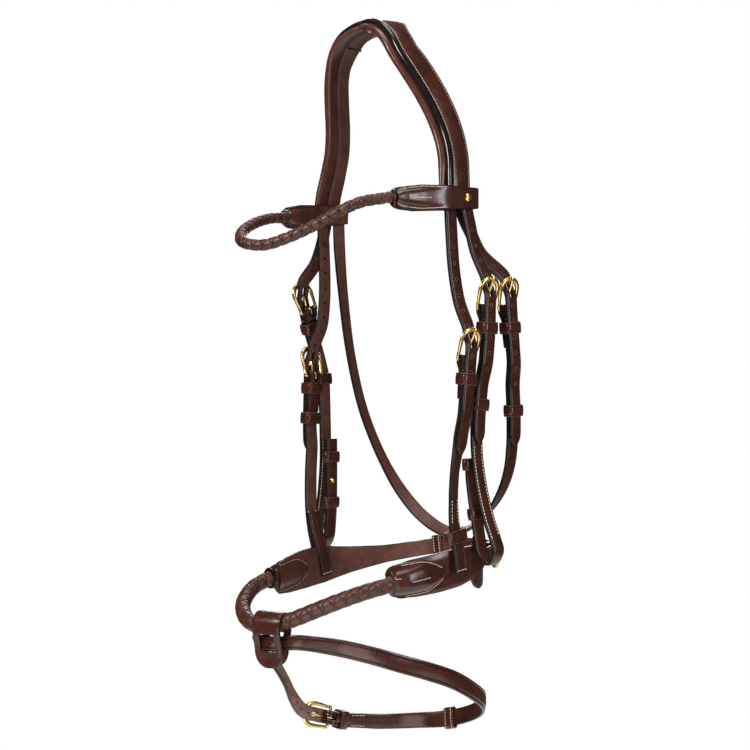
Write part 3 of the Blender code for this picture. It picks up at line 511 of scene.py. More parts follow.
class Buckled:
    """A strap that hangs from a buckle: its centre route starts at the buckle's bar."""

    def __init__(self, route, width=STRAP_WIDTH, fold=FOLD_LENGTH):
        self.route, self.width, self.fold = route, width, fold
        self.bar, self.down, self.out, self.side = route.at(0.0)

    def local(self, down, out, side=0.0):
        return self.bar + self.down * down + self.out * out + self.side * side

    def lift(self, distance):
        """How far the outer layer stands off the route."""
        return FOLD_RADIUS * (1 - ease((distance - self.fold) / LIFT_FADE))

    def inner(self, distance):
        """Where the turned-back layer lies: round the bar, then close behind the outer one."""
        near = ease((distance - 1.0) / FOLD_EASE)
        return -FOLD_RADIUS * (1 - near) + (self.lift(distance) - STRAP_THICK - LAYER_SPACE) * near

    def centre_line(self, widths):
        """Centre points, grain-side directions and widths of the folded strap."""
        points, outs = [], []
        total = self.route.length
        for s in np.linspace(self.fold - 10, 1.5, TURNED_POINTS):
            place, _, out, _ = self.route.at(s)
            points.append(place + out * self.inner(s))
            outs.append(-out)
        for angle in np.linspace(0, math.pi, BAR_POINTS):
            ray = -self.down * math.sin(angle) - self.out * math.cos(angle)
            points.append(self.bar + ray * FOLD_RADIUS)
            outs.append(ray)
        sizes = [self.width] * len(points)
        for s in np.linspace(OUTER_START, total, max(4, round(total / 2.6))):
            place, _, out, _ = self.route.at(s)
            points.append(place + out * self.lift(s))
            outs.append(out)
            sizes.append(self.width if widths is None else widths(s))
        return np.array(points), np.array(outs), np.array(sizes)

    def strap(self, name, body, style="crease", widths=None, stitched=(), under_mat=FLESH):
        """The strap, folded round the bar; stitched gives the runs that have rows on both faces."""
        points, outs, sizes = self.centre_line(widths)
        shape = Shape()
        count = len(points)

        def section(i):
            width = sizes[i] - (0.5 if i in (0, count - 1) else 0)
            return strap_section(width, STRAP_THICK * np.interp(i, [0, 7], [0.35, 1.0]), style, under_mat)

        frames = sweep(shape, points, outs, section)
        shape.body_done()
        turned = [(p, t, -out, side) for p, t, out, side in frames]
        fold_points = TURNED_POINTS + BAR_POINTS
        for run in stitched:
            first, last = (fold_points + int((s - OUTER_START) / (self.route.length - OUTER_START)
                                             * (count - fold_points - 1)) for s in run)
            for sign in (-1, 1):
                for face, rise in ((frames, 0.12), (turned, 0.05)):
                    shape.rows_on(face, sign * (sizes / 2 - STITCH_INSET), STRAP_THICK / 2 + rise,
                                  STRAP_STITCH, first, last)
        place, _, out, side = self.route.at(BAR_ROW)
        shape.stitch_across(place + out * (self.lift(BAR_ROW) + STRAP_THICK / 2 + 0.2), out, side,
                            self.width / 2 + 0.3, BAR_STITCH)
        slot = oblong(self.local(-0.4, 0), (self.down, self.out, self.side), 6.2, 1.7, 6.5)
        shape.make(name, body, cutters=[slot])

    def frame_point(self, up, side):
        return self.local(-up * math.cos(BUCKLE_TILT), up * math.sin(BUCKLE_TILT), side)

    def buckle(self, name, body):
        half = BUCKLE_HALF_WIDTH + (self.width - STRAP_WIDTH) / 2
        arc = half + 1.0
        bar = [(0, s * half) for s in (-0.75, -0.25, 0.25, 0.75)]
        leg = [(0.6, half * 0.985), (6, half + 0.3), (12, half + 0.8)]
        top = [(BUCKLE_HEIGHT - arc + arc * math.sin(a), arc * math.cos(a))
               for a in np.linspace(0, math.pi, 13)]
        outline = bar + leg + top + [(up, -side) for up, side in reversed(leg)]
        points = [self.frame_point(up, side) for up, side in outline + outline[:1]]
        smooth = curve(points, 1.3)[0][:-1]
        heights = np.array([np.dot(p - self.bar, -self.down) for p in smooth])
        sizes = 1.6 + 0.7 * np.clip((heights - 8) / 15, 0, 1)
        normal = unit(self.out * math.cos(BUCKLE_TILT) + self.down * math.sin(BUCKLE_TILT))
        shape = Shape()
        ring_tube(shape, smooth, sizes, BRASS, sides=16, closed=True, flat=0.82, flat_dir=normal)
        shape.make(name, body)

    def tongue(self, name):
        ring = WIRE_RADIUS + GAP + 0.1 + TONGUE_RADIUS
        top_out = BUCKLE_HEIGHT * math.sin(BUCKLE_TILT) + WIRE_RADIUS + GAP + TONGUE_RADIUS
        points = [self.local(ring * math.sin(a), ring * math.cos(a))
                  for a in np.radians(np.linspace(250, 0, 14))]
        points += [self.local(-6, ring + 0.1), self.local(-11.5, ring + 0.4),
                   self.local(-BUCKLE_HEIGHT * math.cos(BUCKLE_TILT), top_out + 0.3),
                   self.local(-28.4, top_out + 0.1)]
        smooth = curve(points, 1.2)[0]
        sizes = np.full(len(smooth), TONGUE_RADIUS)
        sizes[-4:] *= [0.95, 0.85, 0.7, 0.4]
        shape = Shape()
        ring_tube(shape, smooth, sizes, BRASS, sides=12)
        shape.make(name, name)

    def billet(self, name, upper, outs, length, body, holes_above, holes_below, style="crease",
               taper=None, under_mat=FLESH):
        """The strap that comes down through the buckle: a pointed end, a slot and punched holes."""
        points, outward = list(upper), list(outs)
        for down, out in ((-28, 0.7), (-22.5, 1.8), (-17, 4.4), (-12, BILLET_RISE),
                          (0, BILLET_RISE + 0.15)):
            points.append(self.local(down, out))
            outward.append(self.out)
        for s in np.linspace(14, length, max(2, round(length / 18))):
            place, _, out, _ = self.route.at(s)
            points.append(place + out * (self.lift(s) + STRAP_THICK + BILLET_GAP))
            outward.append(out)
        route = Route(points, outward, step=1.9)
        point = np.clip(1 - (route.length - route.along) / TIP_LENGTH, 0, 1)
        widths = self.width if taper is None else np.array(taper(route))
        widths = widths * np.clip(1 - point ** 1.9, 0.12, 1) ** 0.6
        shape = Shape()
        sweep(shape, route.points, route.out,
              lambda i: strap_section(widths[i], STRAP_THICK, style, under_mat))
        shape.body_done()
        slot = self.local(-17.0, 4.4)
        spots = np.linspace(0, route.length, 400)
        start = min(spots, key=lambda spot: np.linalg.norm(route.at(spot)[0] - slot))
        cutters = [oblong(slot, (self.down, self.out, self.side), 7.2, 1.8, 5.0)]
        for k in list(range(-holes_above, 0)) + list(range(1, holes_below + 1)):
            spot = start + k * HOLE_PITCH
            if 6 < spot < route.length - 10:
                place, _, out, side = route.at(spot)
                cutters.append(peg(place, out, side, HOLE_RADIUS, STRAP_THICK))
                # A light tan ring round each hole: painted highlight on the hole's rim.
                rim = ring_of(place + out * (STRAP_THICK / 2 + 0.14), side, np.cross(out, side),
                              HOLE_RADIUS + 0.22, 16)
                ring_tube(shape, rim, 0.26, TAN, sides=6, closed=True)
        shape.make(name, body, cutters=cutters)


def rounded_path(span_out, span_side):
    """A closed round-cornered rectangle in (outward, sideways), at the middle of a keeper's wall."""
    lo_o, hi_o = span_out[0] - KEEPER_WALL / 2, span_out[1] + KEEPER_WALL / 2
    lo_s, hi_s = span_side[0] - KEEPER_WALL / 2, span_side[1] + KEEPER_WALL / 2
    radius = min(KEEPER_CORNER, (hi_o - lo_o) / 2.2, (hi_s - lo_s) / 2.2)
    path = []
    for co, cs, start in ((hi_o - radius, hi_s - radius, 0), (lo_o + radius, hi_s - radius, 90),
                          (lo_o + radius, lo_s + radius, 180), (hi_o - radius, lo_s + radius, 270)):
        for k in range(CORNER_STEPS + 1):
            angle = math.radians(start + 90 * k / CORNER_STEPS)
            path.append((co + radius * math.cos(angle), cs + radius * math.sin(angle)))
    return path


def loop(name, frame_axes, span_out, span_side, length, body, stitched=False):
    """A leather keeper: a creased band bent round a rectangle."""
    centre, down, out, side = frame_axes
    points = [centre + out * o + side * s for o, s in rounded_path(span_out, span_side)]
    middle = np.mean(points, axis=0)
    outs = []
    for p, along in zip(points, tangents(points, True)):
        normal = np.cross(along, down)
        outs.append(normal if np.dot(normal, p - middle) > 0 else -normal)
    shape = Shape()
    # The band's edges take the lighter flesh colour: a painted highlight along the keeper's edges.
    section = strap_section(length, KEEPER_WALL, "crease", rim=FLESH)
    frames = sweep(shape, points, outs, lambda i: section, closed=True)
    if stitched:
        for sign in (-1, 1):
            shape.rows_on(frames + frames[:1], sign * (length / 2 - 2.2), KEEPER_WALL / 2 + 0.1,
                          KEEPER_STITCH)
    shape.make(name, body)


def keeper(name, centre_distance, buckled, body, with_billet=True, fit=0.45, length=KEEPER_LENGTH,
           slack=0.0, stitched=False, widen=0.0):
    """A keeper sized round the layers that it holds; slack is the run that a sliding one clears."""
    half = length / 2 + slack
    centre, down, out, side = buckled.route.at(centre_distance)
    corners = []
    for s in np.linspace(centre_distance - half, centre_distance + half, 5):
        place, _, o, sd = buckled.route.at(s)
        outer = buckled.lift(s) + STRAP_THICK / 2
        if with_billet:
            outer += STRAP_THICK + BILLET_GAP
        inmost = (buckled.inner(s) if s < buckled.fold - 9 else buckled.lift(s)) - STRAP_THICK / 2
        for depth in (inmost, outer):
            for edge in (-buckled.width / 2, buckled.width / 2):
                corner = place + o * depth + sd * edge - centre
                corners.append((np.dot(corner, out), np.dot(corner, side)))
    low_out, low_side = np.min(corners, axis=0) - fit
    high_out, high_side = np.max(corners, axis=0) + fit
    loop(name, (centre, down, out, side), (low_out, high_out), (low_side - widen, high_side + widen),
         length, body, stitched)


def stud(name, base, axis, radius, height, body):
    """A domed brass stud."""
    axis = unit(axis)
    side = unit(np.cross(axis, (0.1, 0.3, 0.9)))
    other = np.cross(axis, side)
    rings = [(radius, -0.3), (radius, 0.25), (radius * 0.93, 0.55), (radius * 0.72, height * 0.8),
             (radius * 0.4, height * 0.96)]
    sides = 20
    verts = [p for size, up in rings for p in ring_of(base + axis * up, side, other, size, sides)]
    verts.append(base + axis * height)
    # A fan of triangles closes the dome in place of the last cap.
    top = sides * (len(rings) - 1)
    faces = tube_faces(len(rings), sides)[:-1]
    faces += [(top + k, top + (k + 1) % sides, len(verts) - 1) for k in range(sides)]
    shape = Shape()
    shape.add(verts, faces, BRASS)
    shape.make(name, body)


# --- plaits

def plait(name, control, radius, spacing, relief, body, extend):
    """A round plait: strands wind each way, over and under, and run on by extend at both ends."""
    centre, _, _, along = curve(control, 0.5)
    tangent = tangents(centre)
    more = np.arange(0.5, extend + 0.5, 0.5)
    centre = np.vstack([centre[0] - tangent[0] * more[::-1, None], centre,
                        centre[-1] + tangent[-1] * more[:, None]])
    along = np.concatenate([-more[::-1], along, along[-1] + more])
    sides = STRAND_SIDES * STRANDS
    verts, cavity = [], []
    for place, distance, (side, other) in zip(centre, along, rolled(tangents(centre))):
        for k in range(sides):
            turn = k / sides
            a, b = STRANDS * turn + distance / spacing, STRANDS * turn - distance / spacing
            fa, fb = a - math.floor(a), b - math.floor(b)
            over = (math.floor(a) + math.floor(b)) % 2 == 0
            wide, lengthwise = (fa, fb) if over else (fb, fa)
            ridge = (1 - abs(2 * wide - 1) ** 7.0) ** 0.6
            arch = (1 - abs(2 * lengthwise - 1) ** 5.0) ** 0.6
            height = ridge * (0.4 + 0.6 * arch)
            size = radius * (1.02 - relief * (1 - height))
            angle = 2 * math.pi * turn
            verts.append(place + size * (math.cos(angle) * side + math.sin(angle) * other))
            # Low cavity values paint shade into the gaps between strands.
            cavity.append(float(np.clip(2.4 * height - 0.9, 0.0, 1.0)))
    shape = Shape()
    shape.add(verts, tube_faces(len(centre), sides), PLAIT, cavity)
    shape.make(name, body)


# --- crown

CROWN_HALF = [(4.5, -4, 4), (15, -8, 2.2), (27, -12, -4), (37.5, -13, -14), (45, -12, -25),
              (54.5, -7, -40), (64, 1, -60), (71.5, 8, -80), (78, 12, -100), (84, 12, -120),
              (88, 9.5, -140), (90, 8, -160.0)]


def crown():
    points = [(-x, y, z) for x, y, z in reversed(CROWN_HALF)] + CROWN_HALF
    outward = []
    for x, _, z in points:
        lean = np.clip(-z / 30.0, 0, 1)
        outward.append((math.copysign(lean, x) if lean else 0.0, -0.07 * lean, 1 - lean))
    route = Route(points, outward)
    mid = np.abs(np.linspace(-1, 1, len(route.points)))
    scale = 1 + (CROWN_POLL_SCALE - 1) * np.clip(1 - mid / 0.3, 0, 1)
    rear = -route.across

    def line(centre, lift):
        return route.points + route.out * lift + rear * (centre * scale)[:, None]

    # Top leather with a stitch row beside each edge. Sweep's sideways axis points to the front.
    def top(i):
        h, t = CROWN_HALF_WIDTH * scale[i], 1.5
        return [(h, -0.4, EDGE), (h - 0.1, 0.6, EDGE), (h - 0.7, t - 0.1, GRAIN),
                (h - 1.8, t - 0.05, GRAIN), (h - 3.2, t + 0.35, GRAIN), (h * 0.4, t + 0.75, GRAIN),
                (-h * 0.4, t + 0.75, GRAIN), (-h + 3.2, t + 0.35, GRAIN), (-h + 1.8, t - 0.05, GRAIN),
                (-h + 0.7, t - 0.1, EDGE), (-h + 0.1, 0.6, EDGE), (-h, -0.4, EDGE),
                (-h + 0.6, -t, FLESH), (h - 0.6, -t, EDGE)]

    shape = Shape()
    frames = sweep(shape, line(4.3, 4.4), route.out, top)
    for sign, inset in ((-1, 2.5), (1, 1.9)):
        shape.rows_on(frames, sign * (CROWN_HALF_WIDTH * scale - inset), 1.52, CROWN_STITCH)
    shape.make("crown_leather", "crown")

    def pad(name, centre, half, lift, up, down, mat, front_power):
        """One of the lining's two pads; front_power rounds its front edge."""
        def section(i):
            slim = 1 - 0.4 * np.clip((mid[i] - 0.86) / 0.1, 0, 1)
            rows = []
            for k in range(24):
                angle = 2 * math.pi * k / 24
                c, s = math.cos(angle), math.sin(angle)
                power = 0.62 if c < 0 else front_power
                rows.append((half * scale[i] * math.copysign(abs(c) ** power, c),
                             (up if s > 0 else down) * slim * math.copysign(abs(s) ** 0.62, s), mat))
            return rows

        shape = Shape()
        sweep(shape, line(centre, lift), route.out, section)
        shape.make(name, "crown")

    pad("crown_lining_front", -8.6, 6.3, -1.0, 3.2, 3.7, ROLL, 0.8)
    pad("crown_lining_rear", 6.2, 8.2, -1.1, 2.9, 3.3, LINING, 0.62)

    # Seam across the rear pad where two lengths of lining meet: a dark ridge, partly the overlapping end's
    # edge and partly painted shadow of the overlap.
    shape = Shape()
    seam = int(np.argmin(np.abs(route.points[:, 0] + 31)))
    place = line(6.2, -4.5)[seam]
    out, side = route.out[seam], rear[seam]
    sweep(shape, [place + side * s for s in np.linspace(-8, 8, 9)], [-out] * 9,
          lambda i: [(1.3, -0.2, EDGE), (0.7, 0.45, EDGE), (-0.7, 0.45, EDGE), (-1.3, -0.2, EDGE)])
    shape.make("crown_lining_seam", "crown", in_cad=False)

    # Welt along the rear edge of the lining, and the dark piping in front of the top leather.
    shape = Shape()
    ring_tube(shape, line(13.9, -1.6), 0.95, ROLL, sides=10)
    shape.make("crown_rear_welt", "crown", in_cad=False)
    shape = Shape()
    ring_tube(shape, line(-8.3, 4.9), 2.3, PIPING, sides=20)
    shape.make("crown_piping", "crown")


# --- browband

BROW_CORD = [(72.6, -61, -161), (65.5, -75, -164), (52, -89, -172), (36, -100, -182),
             (15, -115, -193), (-5, -127, -199), (-25, -134, -196), (-45, -122, -186),
             (-60, -98, -175), (-70, -73, -168), (-73, -56.5, -166)]


def browband_end(name, sign, front, front_z, rear_z):
    """A moulded socket on the cord's end that opens into a flat loop round the crown's straps."""
    fx, fy = front
    outer = [(fx + 5.6, fy), (85.4, -42), (91.5, -28), (97.5, -16), (100.2, -8), (100.9, 6),
             (100.9, 18), (100.4, 25.5), (98.0, 30.2), (94.0, 31.3), (86.6, 31.3), (82.6, 30.0),
             (80.4, 25.5), (80.2, 18), (80.3, 6), (80.2, -8), (78.5, -22), (75.5, -38), (fx - 4.6, fy)]
    path = curve([(x, y, 0) for x, y in outer], 1.8)[0]
    normals = np.cross(tangents(path), (0, 0, -1))
    if np.dot(normals[5], (1, 0, 0)) < 0:
        normals = -normals
    stations = [fy, fy + 1.5, fy + 4, fy + 8, -30, -5, 18, 32]
    heights = [10.4, 14.4, 17.6, 19.6, 22.4, 20.6, 19.0, 18.0]

    def level(y):
        return np.interp(y, [fy, 34], [front_z, rear_z])

    points = [(sign * (p[0] - n[0] * BROW_WALL), p[1] - n[1] * BROW_WALL, level(p[1]))
              for p, n in zip(path, normals)]
    outs = [(sign * n[0], n[1], 0.0) for n in normals]
    sizes = np.interp(path[:, 1], stations, heights)
    bulges = np.interp(path[:, 1], [fy, fy + 10, -34, -18, -6], [3.4, 4.2, 3.2, 1.2, 0.0])
    inside = np.arange(len(path)) > len(path) / 2

    def section(i):
        h, t, extra = sizes[i] / 2, BROW_WALL, bulges[i]
        face = ROLL if inside[i] else GRAIN
        rows = [(h, -0.3, EDGE), (h - 0.15, 0.4, EDGE), (h - 0.8, t, face)]
        for a in (0.84, 0.72, 0.62, 0.5, 0.25, 0.0, -0.25, -0.5, -0.62, -0.72, -0.84):
            swell = extra * max(0.0, 1 - (abs(a) / 0.70) ** 2.4) ** 0.6
            rows.append((h * a, t + swell, face))
        rows += [(-h + 0.8, t, EDGE), (-h + 0.15, 0.4, EDGE), (-h, -0.3, EDGE),
                 (-h + 0.5, -t, FLESH), (h - 0.5, -t, EDGE)]
        return rows

    shape = Shape()
    frames = sweep(shape, points, outs, section)
    # The outer wall's place where the socket ends and the flat loop begins.
    wrap = min(np.flatnonzero(~inside), key=lambda i: abs(points[i][1] + 9))
    for edge in (-1, 1):
        shape.rows_on(frames, edge * (sizes / 2 - 1.7), 1.05, BROW_STITCH, 6, wrap)
    shape.rows_on(frames, 0.4, 0.95 + bulges, BROW_STITCH, 8, int(wrap * 0.72))
    # A bowed crease just behind it: a thin dark ridge whose colour is painted shade in the fold.
    place, along, out, side = frames[wrap + 3]
    spots = np.linspace(-0.46, 0.46, 12)
    bow = 1.4 * np.sin(np.arange(12) / 11 * math.pi)
    ring_tube(shape, [place + out + side * sizes[wrap] * f + along * b for f, b in zip(spots, bow)],
              0.35, EDGE, sides=6)
    # The core that fills the socket behind the cord's end.
    core_points, spans = [], []
    for y in np.linspace(fy + 7, -12, 12):
        x_out = np.interp(y, [fy, -42, -28, -16, -8], [fx + 5.6, 85.4, 91.5, 97.5, 100.2])
        x_in = np.interp(y, [fy, -38, -22, -8], [fx - 4.6, 75.5, 78.5, 80.4])
        core_points.append((sign * (x_out + x_in) / 2, y, level(y)))
        spans.append(((x_out - x_in) / 2 - 1.8, np.interp(y, stations, heights) / 2 - 0.6))

    def core(i):
        wide, high = spans[i]
        angles = np.linspace(0, 2 * math.pi, 21)[:-1]
        return [(high * math.copysign(abs(math.cos(a)) ** 0.7, math.cos(a)),
                 wide * math.copysign(abs(math.sin(a)) ** 0.6, math.sin(a)), EDGE) for a in angles]

    sweep(shape, core_points, [(sign, 0, 0)] * len(core_points), core)
    # The socket's rolled mouth, closed by a dark face: painted shade in the gap round the cord.
    ahead = unit((sign * 0.5, 1.0, 0.0))
    rim = ring_of(np.array([sign * (fx + 0.5), fy + 0.4, front_z]), 5.9 * np.cross(ahead, (0, 0, 1)),
                  np.array([0, 0, 6.6]), 1, 28)
    ring_tube(shape, rim, 0.9, GRAIN, sides=8, closed=True)
    shape.add([p + ahead * 0.5 for p in rim], [tuple(range(28))], EDGE)
    shape.make(name, "browband")


def browband():
    plait("browband_plait", BROW_CORD, 4.9, 9.2, 0.22, "browband", 11.0)
    browband_end("near_browband_end", 1, (77.4, -51), -160, -156.5)
    browband_end("off_browband_end", -1, (76.5, -50), -165, -156.5)
    stud("near_browband_stud", np.array([100.9, 15.0, -157.0]), OUT_NEAR, 3.4, 1.9, "browband")


# --- hangers and cheekpieces

def buckled(prefix, body, points, outs, stitched=()):
    """A strap with its buckle and tongue."""
    strap = Buckled(Route(points, outs))
    strap.strap(prefix + "_strap", body, stitched=stitched)
    strap.buckle(prefix + "_buckle", body)
    strap.tongue(prefix + "_tongue")
    return strap


def hangers():
    near_points = [(95, 17, -298), (94.4, 15.5, -318), (93.4, 13.5, -345), (91.5, 12, -372),
                   (89.5, 9.5, -396), (88.4, 9, -422), (88.6, 10.5, -446), (90, 13.5, -464),
                   (91, 16, -483.5)]
    near_outs = [OUT_NEAR] * 3 + [(1, 0.12, 0), (1, 0.3, 0), (1, 0.3, 0), (1, 0.12, 0)] + [OUT_NEAR] * 2
    near_upper = [(90.5, 3, BILLET_TOP_Z), (92, 3.5, -190), (93.5, 5, -220), (95.5, 9.5, -248)]
    near = buckled("near_hanger", "noseband", near_points, near_outs, [(122, 146)])
    near.billet("near_noseband_billet", near_upper, [OUT_NEAR] * 4, 82, "noseband", 6, 2)
    keeper("near_hanger_keeper", 16.5, near, "noseband")
    keeper("near_hanger_lower_keeper", 154.5, near, "noseband", with_billet=False, length=11, fit=0.6,
           widen=3.2)
    place, _, out, side = near.route.at(near.route.length - 2.5)
    shape = Shape()
    shape.stitch_across(place + out * 1.75, out, side, 5.4, FOOT_STITCH)
    shape.make("near_hanger_foot_stitches", "noseband", in_cad=False)

    off_points = [(-93, -4, -312), (-92.8, -4.4, -328), (-92.3, -5.5, -352), (-92, -7, -378),
                  (-91.6, -8.8, -405), (-91, -9, -436), (-90.4, -6.5, -458), (-89.6, -3, -474),
                  (-89, 0, -489), (-89.2, 2.6, -503)]
    off_upper = [(-90.5, 4.6, BILLET_TOP_Z), (-91, 6.5, -190), (-90.8, 7.5, -220),
                 (-90.8, 7, -242), (-91, 4, -264)]
    off = buckled("off_hanger", "noseband", off_points, OUT_OFF, [(128, 150)])
    off.billet("off_noseband_billet", off_upper, [OUT_OFF] * 5, 72, "noseband", 8, 2)
    keeper("off_hanger_keeper", 11.5, off, "noseband")
    keeper("off_hanger_lower_keeper", 40.0, off, "noseband", length=11)
    # The part of the off hanger that is sewn to the panel's inner face.
    inner = Route([(-88.6, -8.2, -441), (-85.6, -6.5, -458), (-82.6, -3.5, -472), (-80.3, 0, -489),
                   (-80.4, 2.4, -501)], OUT_NEAR)
    last = len(inner.points) - 1
    shape = Shape()
    frames = sweep(shape, inner.points, inner.out,
                   lambda i: strap_section(STRAP_WIDTH * (0.93 if i == last else 1.0), 2.2, "crease"))
    place, _, out, side = frames[-2]
    shape.stitch_across(place + out * 1.3, out, side, 5.6, FOOT_STITCH)
    shape.make("off_hanger_end", "noseband", in_cad=False)


def cheekpiece(prefix, points, outs, upper, upper_outs, billet_length, above, runner_at, stitched):
    """A cheekpiece that turns back up at its foot."""
    body = prefix + "_cheek"
    strap = buckled(body, body, points, outs, stitched)
    strap.billet(body + "_billet", upper, upper_outs, billet_length, body, above, 5)
    keeper(body + "_keeper", 16.5, strap, body)
    keeper(body + "_runner", runner_at, strap, body + "_runner", slack=7.0, fit=0.6)
    return strap.route


def bit_loop(prefix, route):
    """Two keepers and a stud on the part of the cheekpiece that turns back up."""
    lowest = int(np.argmin(route.points[:, 2]))

    def returning(z):
        return route.at(np.interp(z, route.points[lowest:, 2], route.along[lowest:]))

    deep, wide = STRAP_THICK / 2 + 0.6, STRAP_WIDTH / 2 + 0.6
    for label, z in BIT_LOOP_KEEPERS_Z:
        loop(f"{prefix}_bit_loop_{label}_keeper", returning(z), (-deep, deep), (-wide, wide),
             KEEPER_LENGTH, prefix + "_cheek")
    place, _, out, _ = returning(BIT_LOOP_STUD_Z)
    stud(prefix + "_bit_loop_stud", place + out * 1.6, out, 2.6, 2.2, prefix + "_cheek")


def cheekpieces():
    near_points = [(95.5, 40, -253), (95, 39.6, -275), (94.4, 37.5, -300), (93.4, 34.5, -330),
                   (92.8, 32.4, -358), (93.2, 33, -382), (94, 35.5, -402), (96.2, 38, -420),
                   (100, 40.6, -438), (105.5, 43, -455)]
    near_turn = [(108.2, 44, -466), (101, 42.5, -477), (92.6, 40, -468), (90.2, 38.8, -455),
                 (88.6, 37, -438), (86.8, 35, -420), (85.6, 33.4, -402), (85.2, 32.4, -384)]
    near_outs = [OUT_NEAR] * 10 + [(0.9, 0, -0.4), (0, 0, -1), (-1, 0, -0.3)] + [OUT_OFF] * 5
    near_upper = [(94.2, 18, BILLET_TOP_Z), (95, 22.5, -180), (95.3, 29, -202)]
    near = cheekpiece("near", near_points + near_turn, near_outs, near_upper, [OUT_NEAR] * 3, 118, 4, 84,
                      [(122, 206)])
    off_points = [(-104, -1, -250), (-105.5, 4, -264), (-106.8, 11, -280), (-106.3, 16.2, -297),
                  (-104.2, 17, -316), (-101.5, 15.8, -340), (-99.4, 14.8, -364),
                  (-98.4, 14.4, -390), (-100, 14, -414), (-104, 14.4, -436), (-109, 15, -455)]
    off_turn = [(-112, 15.5, -466), (-105, 16, -477), (-96.4, 16.4, -468), (-93.4, 16.4, -452),
                (-91.6, 16, -434), (-90.6, 15.6, -414), (-90.4, 15.4, -390), (-90.4, 15.4, -372)]
    off_outs = [OUT_OFF] * 11 + [(-0.9, 0, -0.4), (0, 0, -1), (1, 0, -0.3)] + [OUT_NEAR] * 5
    off_upper = [(-95.2, 13.5, BILLET_TOP_Z), (-98.6, 10, -185), (-102, 4.5, -205)]
    off = cheekpiece("off", off_points + off_turn, off_outs, off_upper, [OUT_OFF] * 3, 84, 3, 68,
                     [(128, 212)])
    bit_loop("near", near)
    bit_loop("off", off)


# --- throatlash

def throatlash():
    points = [(95.5, 66.5, -252.5), (95.3, 68.6, -275), (95.2, 71.5, -300), (94.8, 74, -330),
              (94, 75.6, -355), (93, 76, -376), (90.5, 74.5, -397), (84.5, 70.5, -417),
              (73, 67, -434), (57, 67, -446), (35, 69.5, -454), (10, 71, -456.5), (-20, 69.5, -444.5),
              (-46, 66, -422.5), (-64, 61, -397), (-77.5, 53.5, -365), (-84, 46, -335),
              (-89.5, 37.5, -287), (-89.6, 28.5, -229), (-87, 22.5, -190), (-86, 20.5, BILLET_TOP_Z)]
    outs = [OUT_NEAR] * 6 + [(1, 0.1, -0.2), (0.8, 0.2, -0.5), (0.6, 0.35, -0.7), (0.35, 0.45, -0.8),
                             (0.15, 0.5, -0.85), (0, 0.55, -0.83), (-0.3, 0.45, -0.8), (-0.6, 0.2, -0.6),
                             (-0.8, -0.1, -0.4), (-0.93, -0.25, -0.2), (-0.94, -0.3, 0), (-0.95, -0.3, 0),
                             (-0.97, -0.2, 0)] + [OUT_OFF] * 2
    strap = buckled("throatlash", "throatlash", points, outs)
    upper = [(86.8, 19, BILLET_TOP_Z), (87.4, 21.5, -172), (89.2, 29.5, -187), (91.5, 40, -205)]
    strap.billet("near_throat_billet", upper, [OUT_NEAR] * 4, 122, "throatlash", 4, 6)
    keeper("throatlash_keeper", 16.5, strap, "throatlash")
    keeper("throatlash_runner", 90.5, strap, "throatlash_runner", slack=7.0, fit=0.6)


# --- noseband

NOSE_CORD = [(69.6, -54.8, -492), (61, -66, -496), (47, -85, -504), (31, -100.5, -513),
             (14, -113, -521.5), (-2, -121.5, -525.5), (-16, -125, -528), (-29, -124.5, -526.5),
             (-44, -119.5, -522.5), (-59, -110.5, -516.5), (-69.5, -99, -510.5),
             (-75.3, -86.5, -504)]
NEAR_PANEL = [(62, -45, -490.5), (72.5, -25, -487), (80, -4, -483.5), (84.2, 18, -479.5),
              (84.2, 36, -476), (82, 50, -473.5)]
NEAR_HEIGHTS = [26, 33, 34.5, 34.5, 30, 19]
OFF_PANEL = [(-22, 95, -474), (-46, 86, -478.5), (-66, 62, -483.5), (-79, 30, -487.5),
             (-83.4, 0, -490.5), (-81, -25, -493), (-75, -48, -496), (-67.5, -68, -498.5)]
OFF_HEIGHTS = [15, 15, 17, 25, 35, 37, 34, 27]


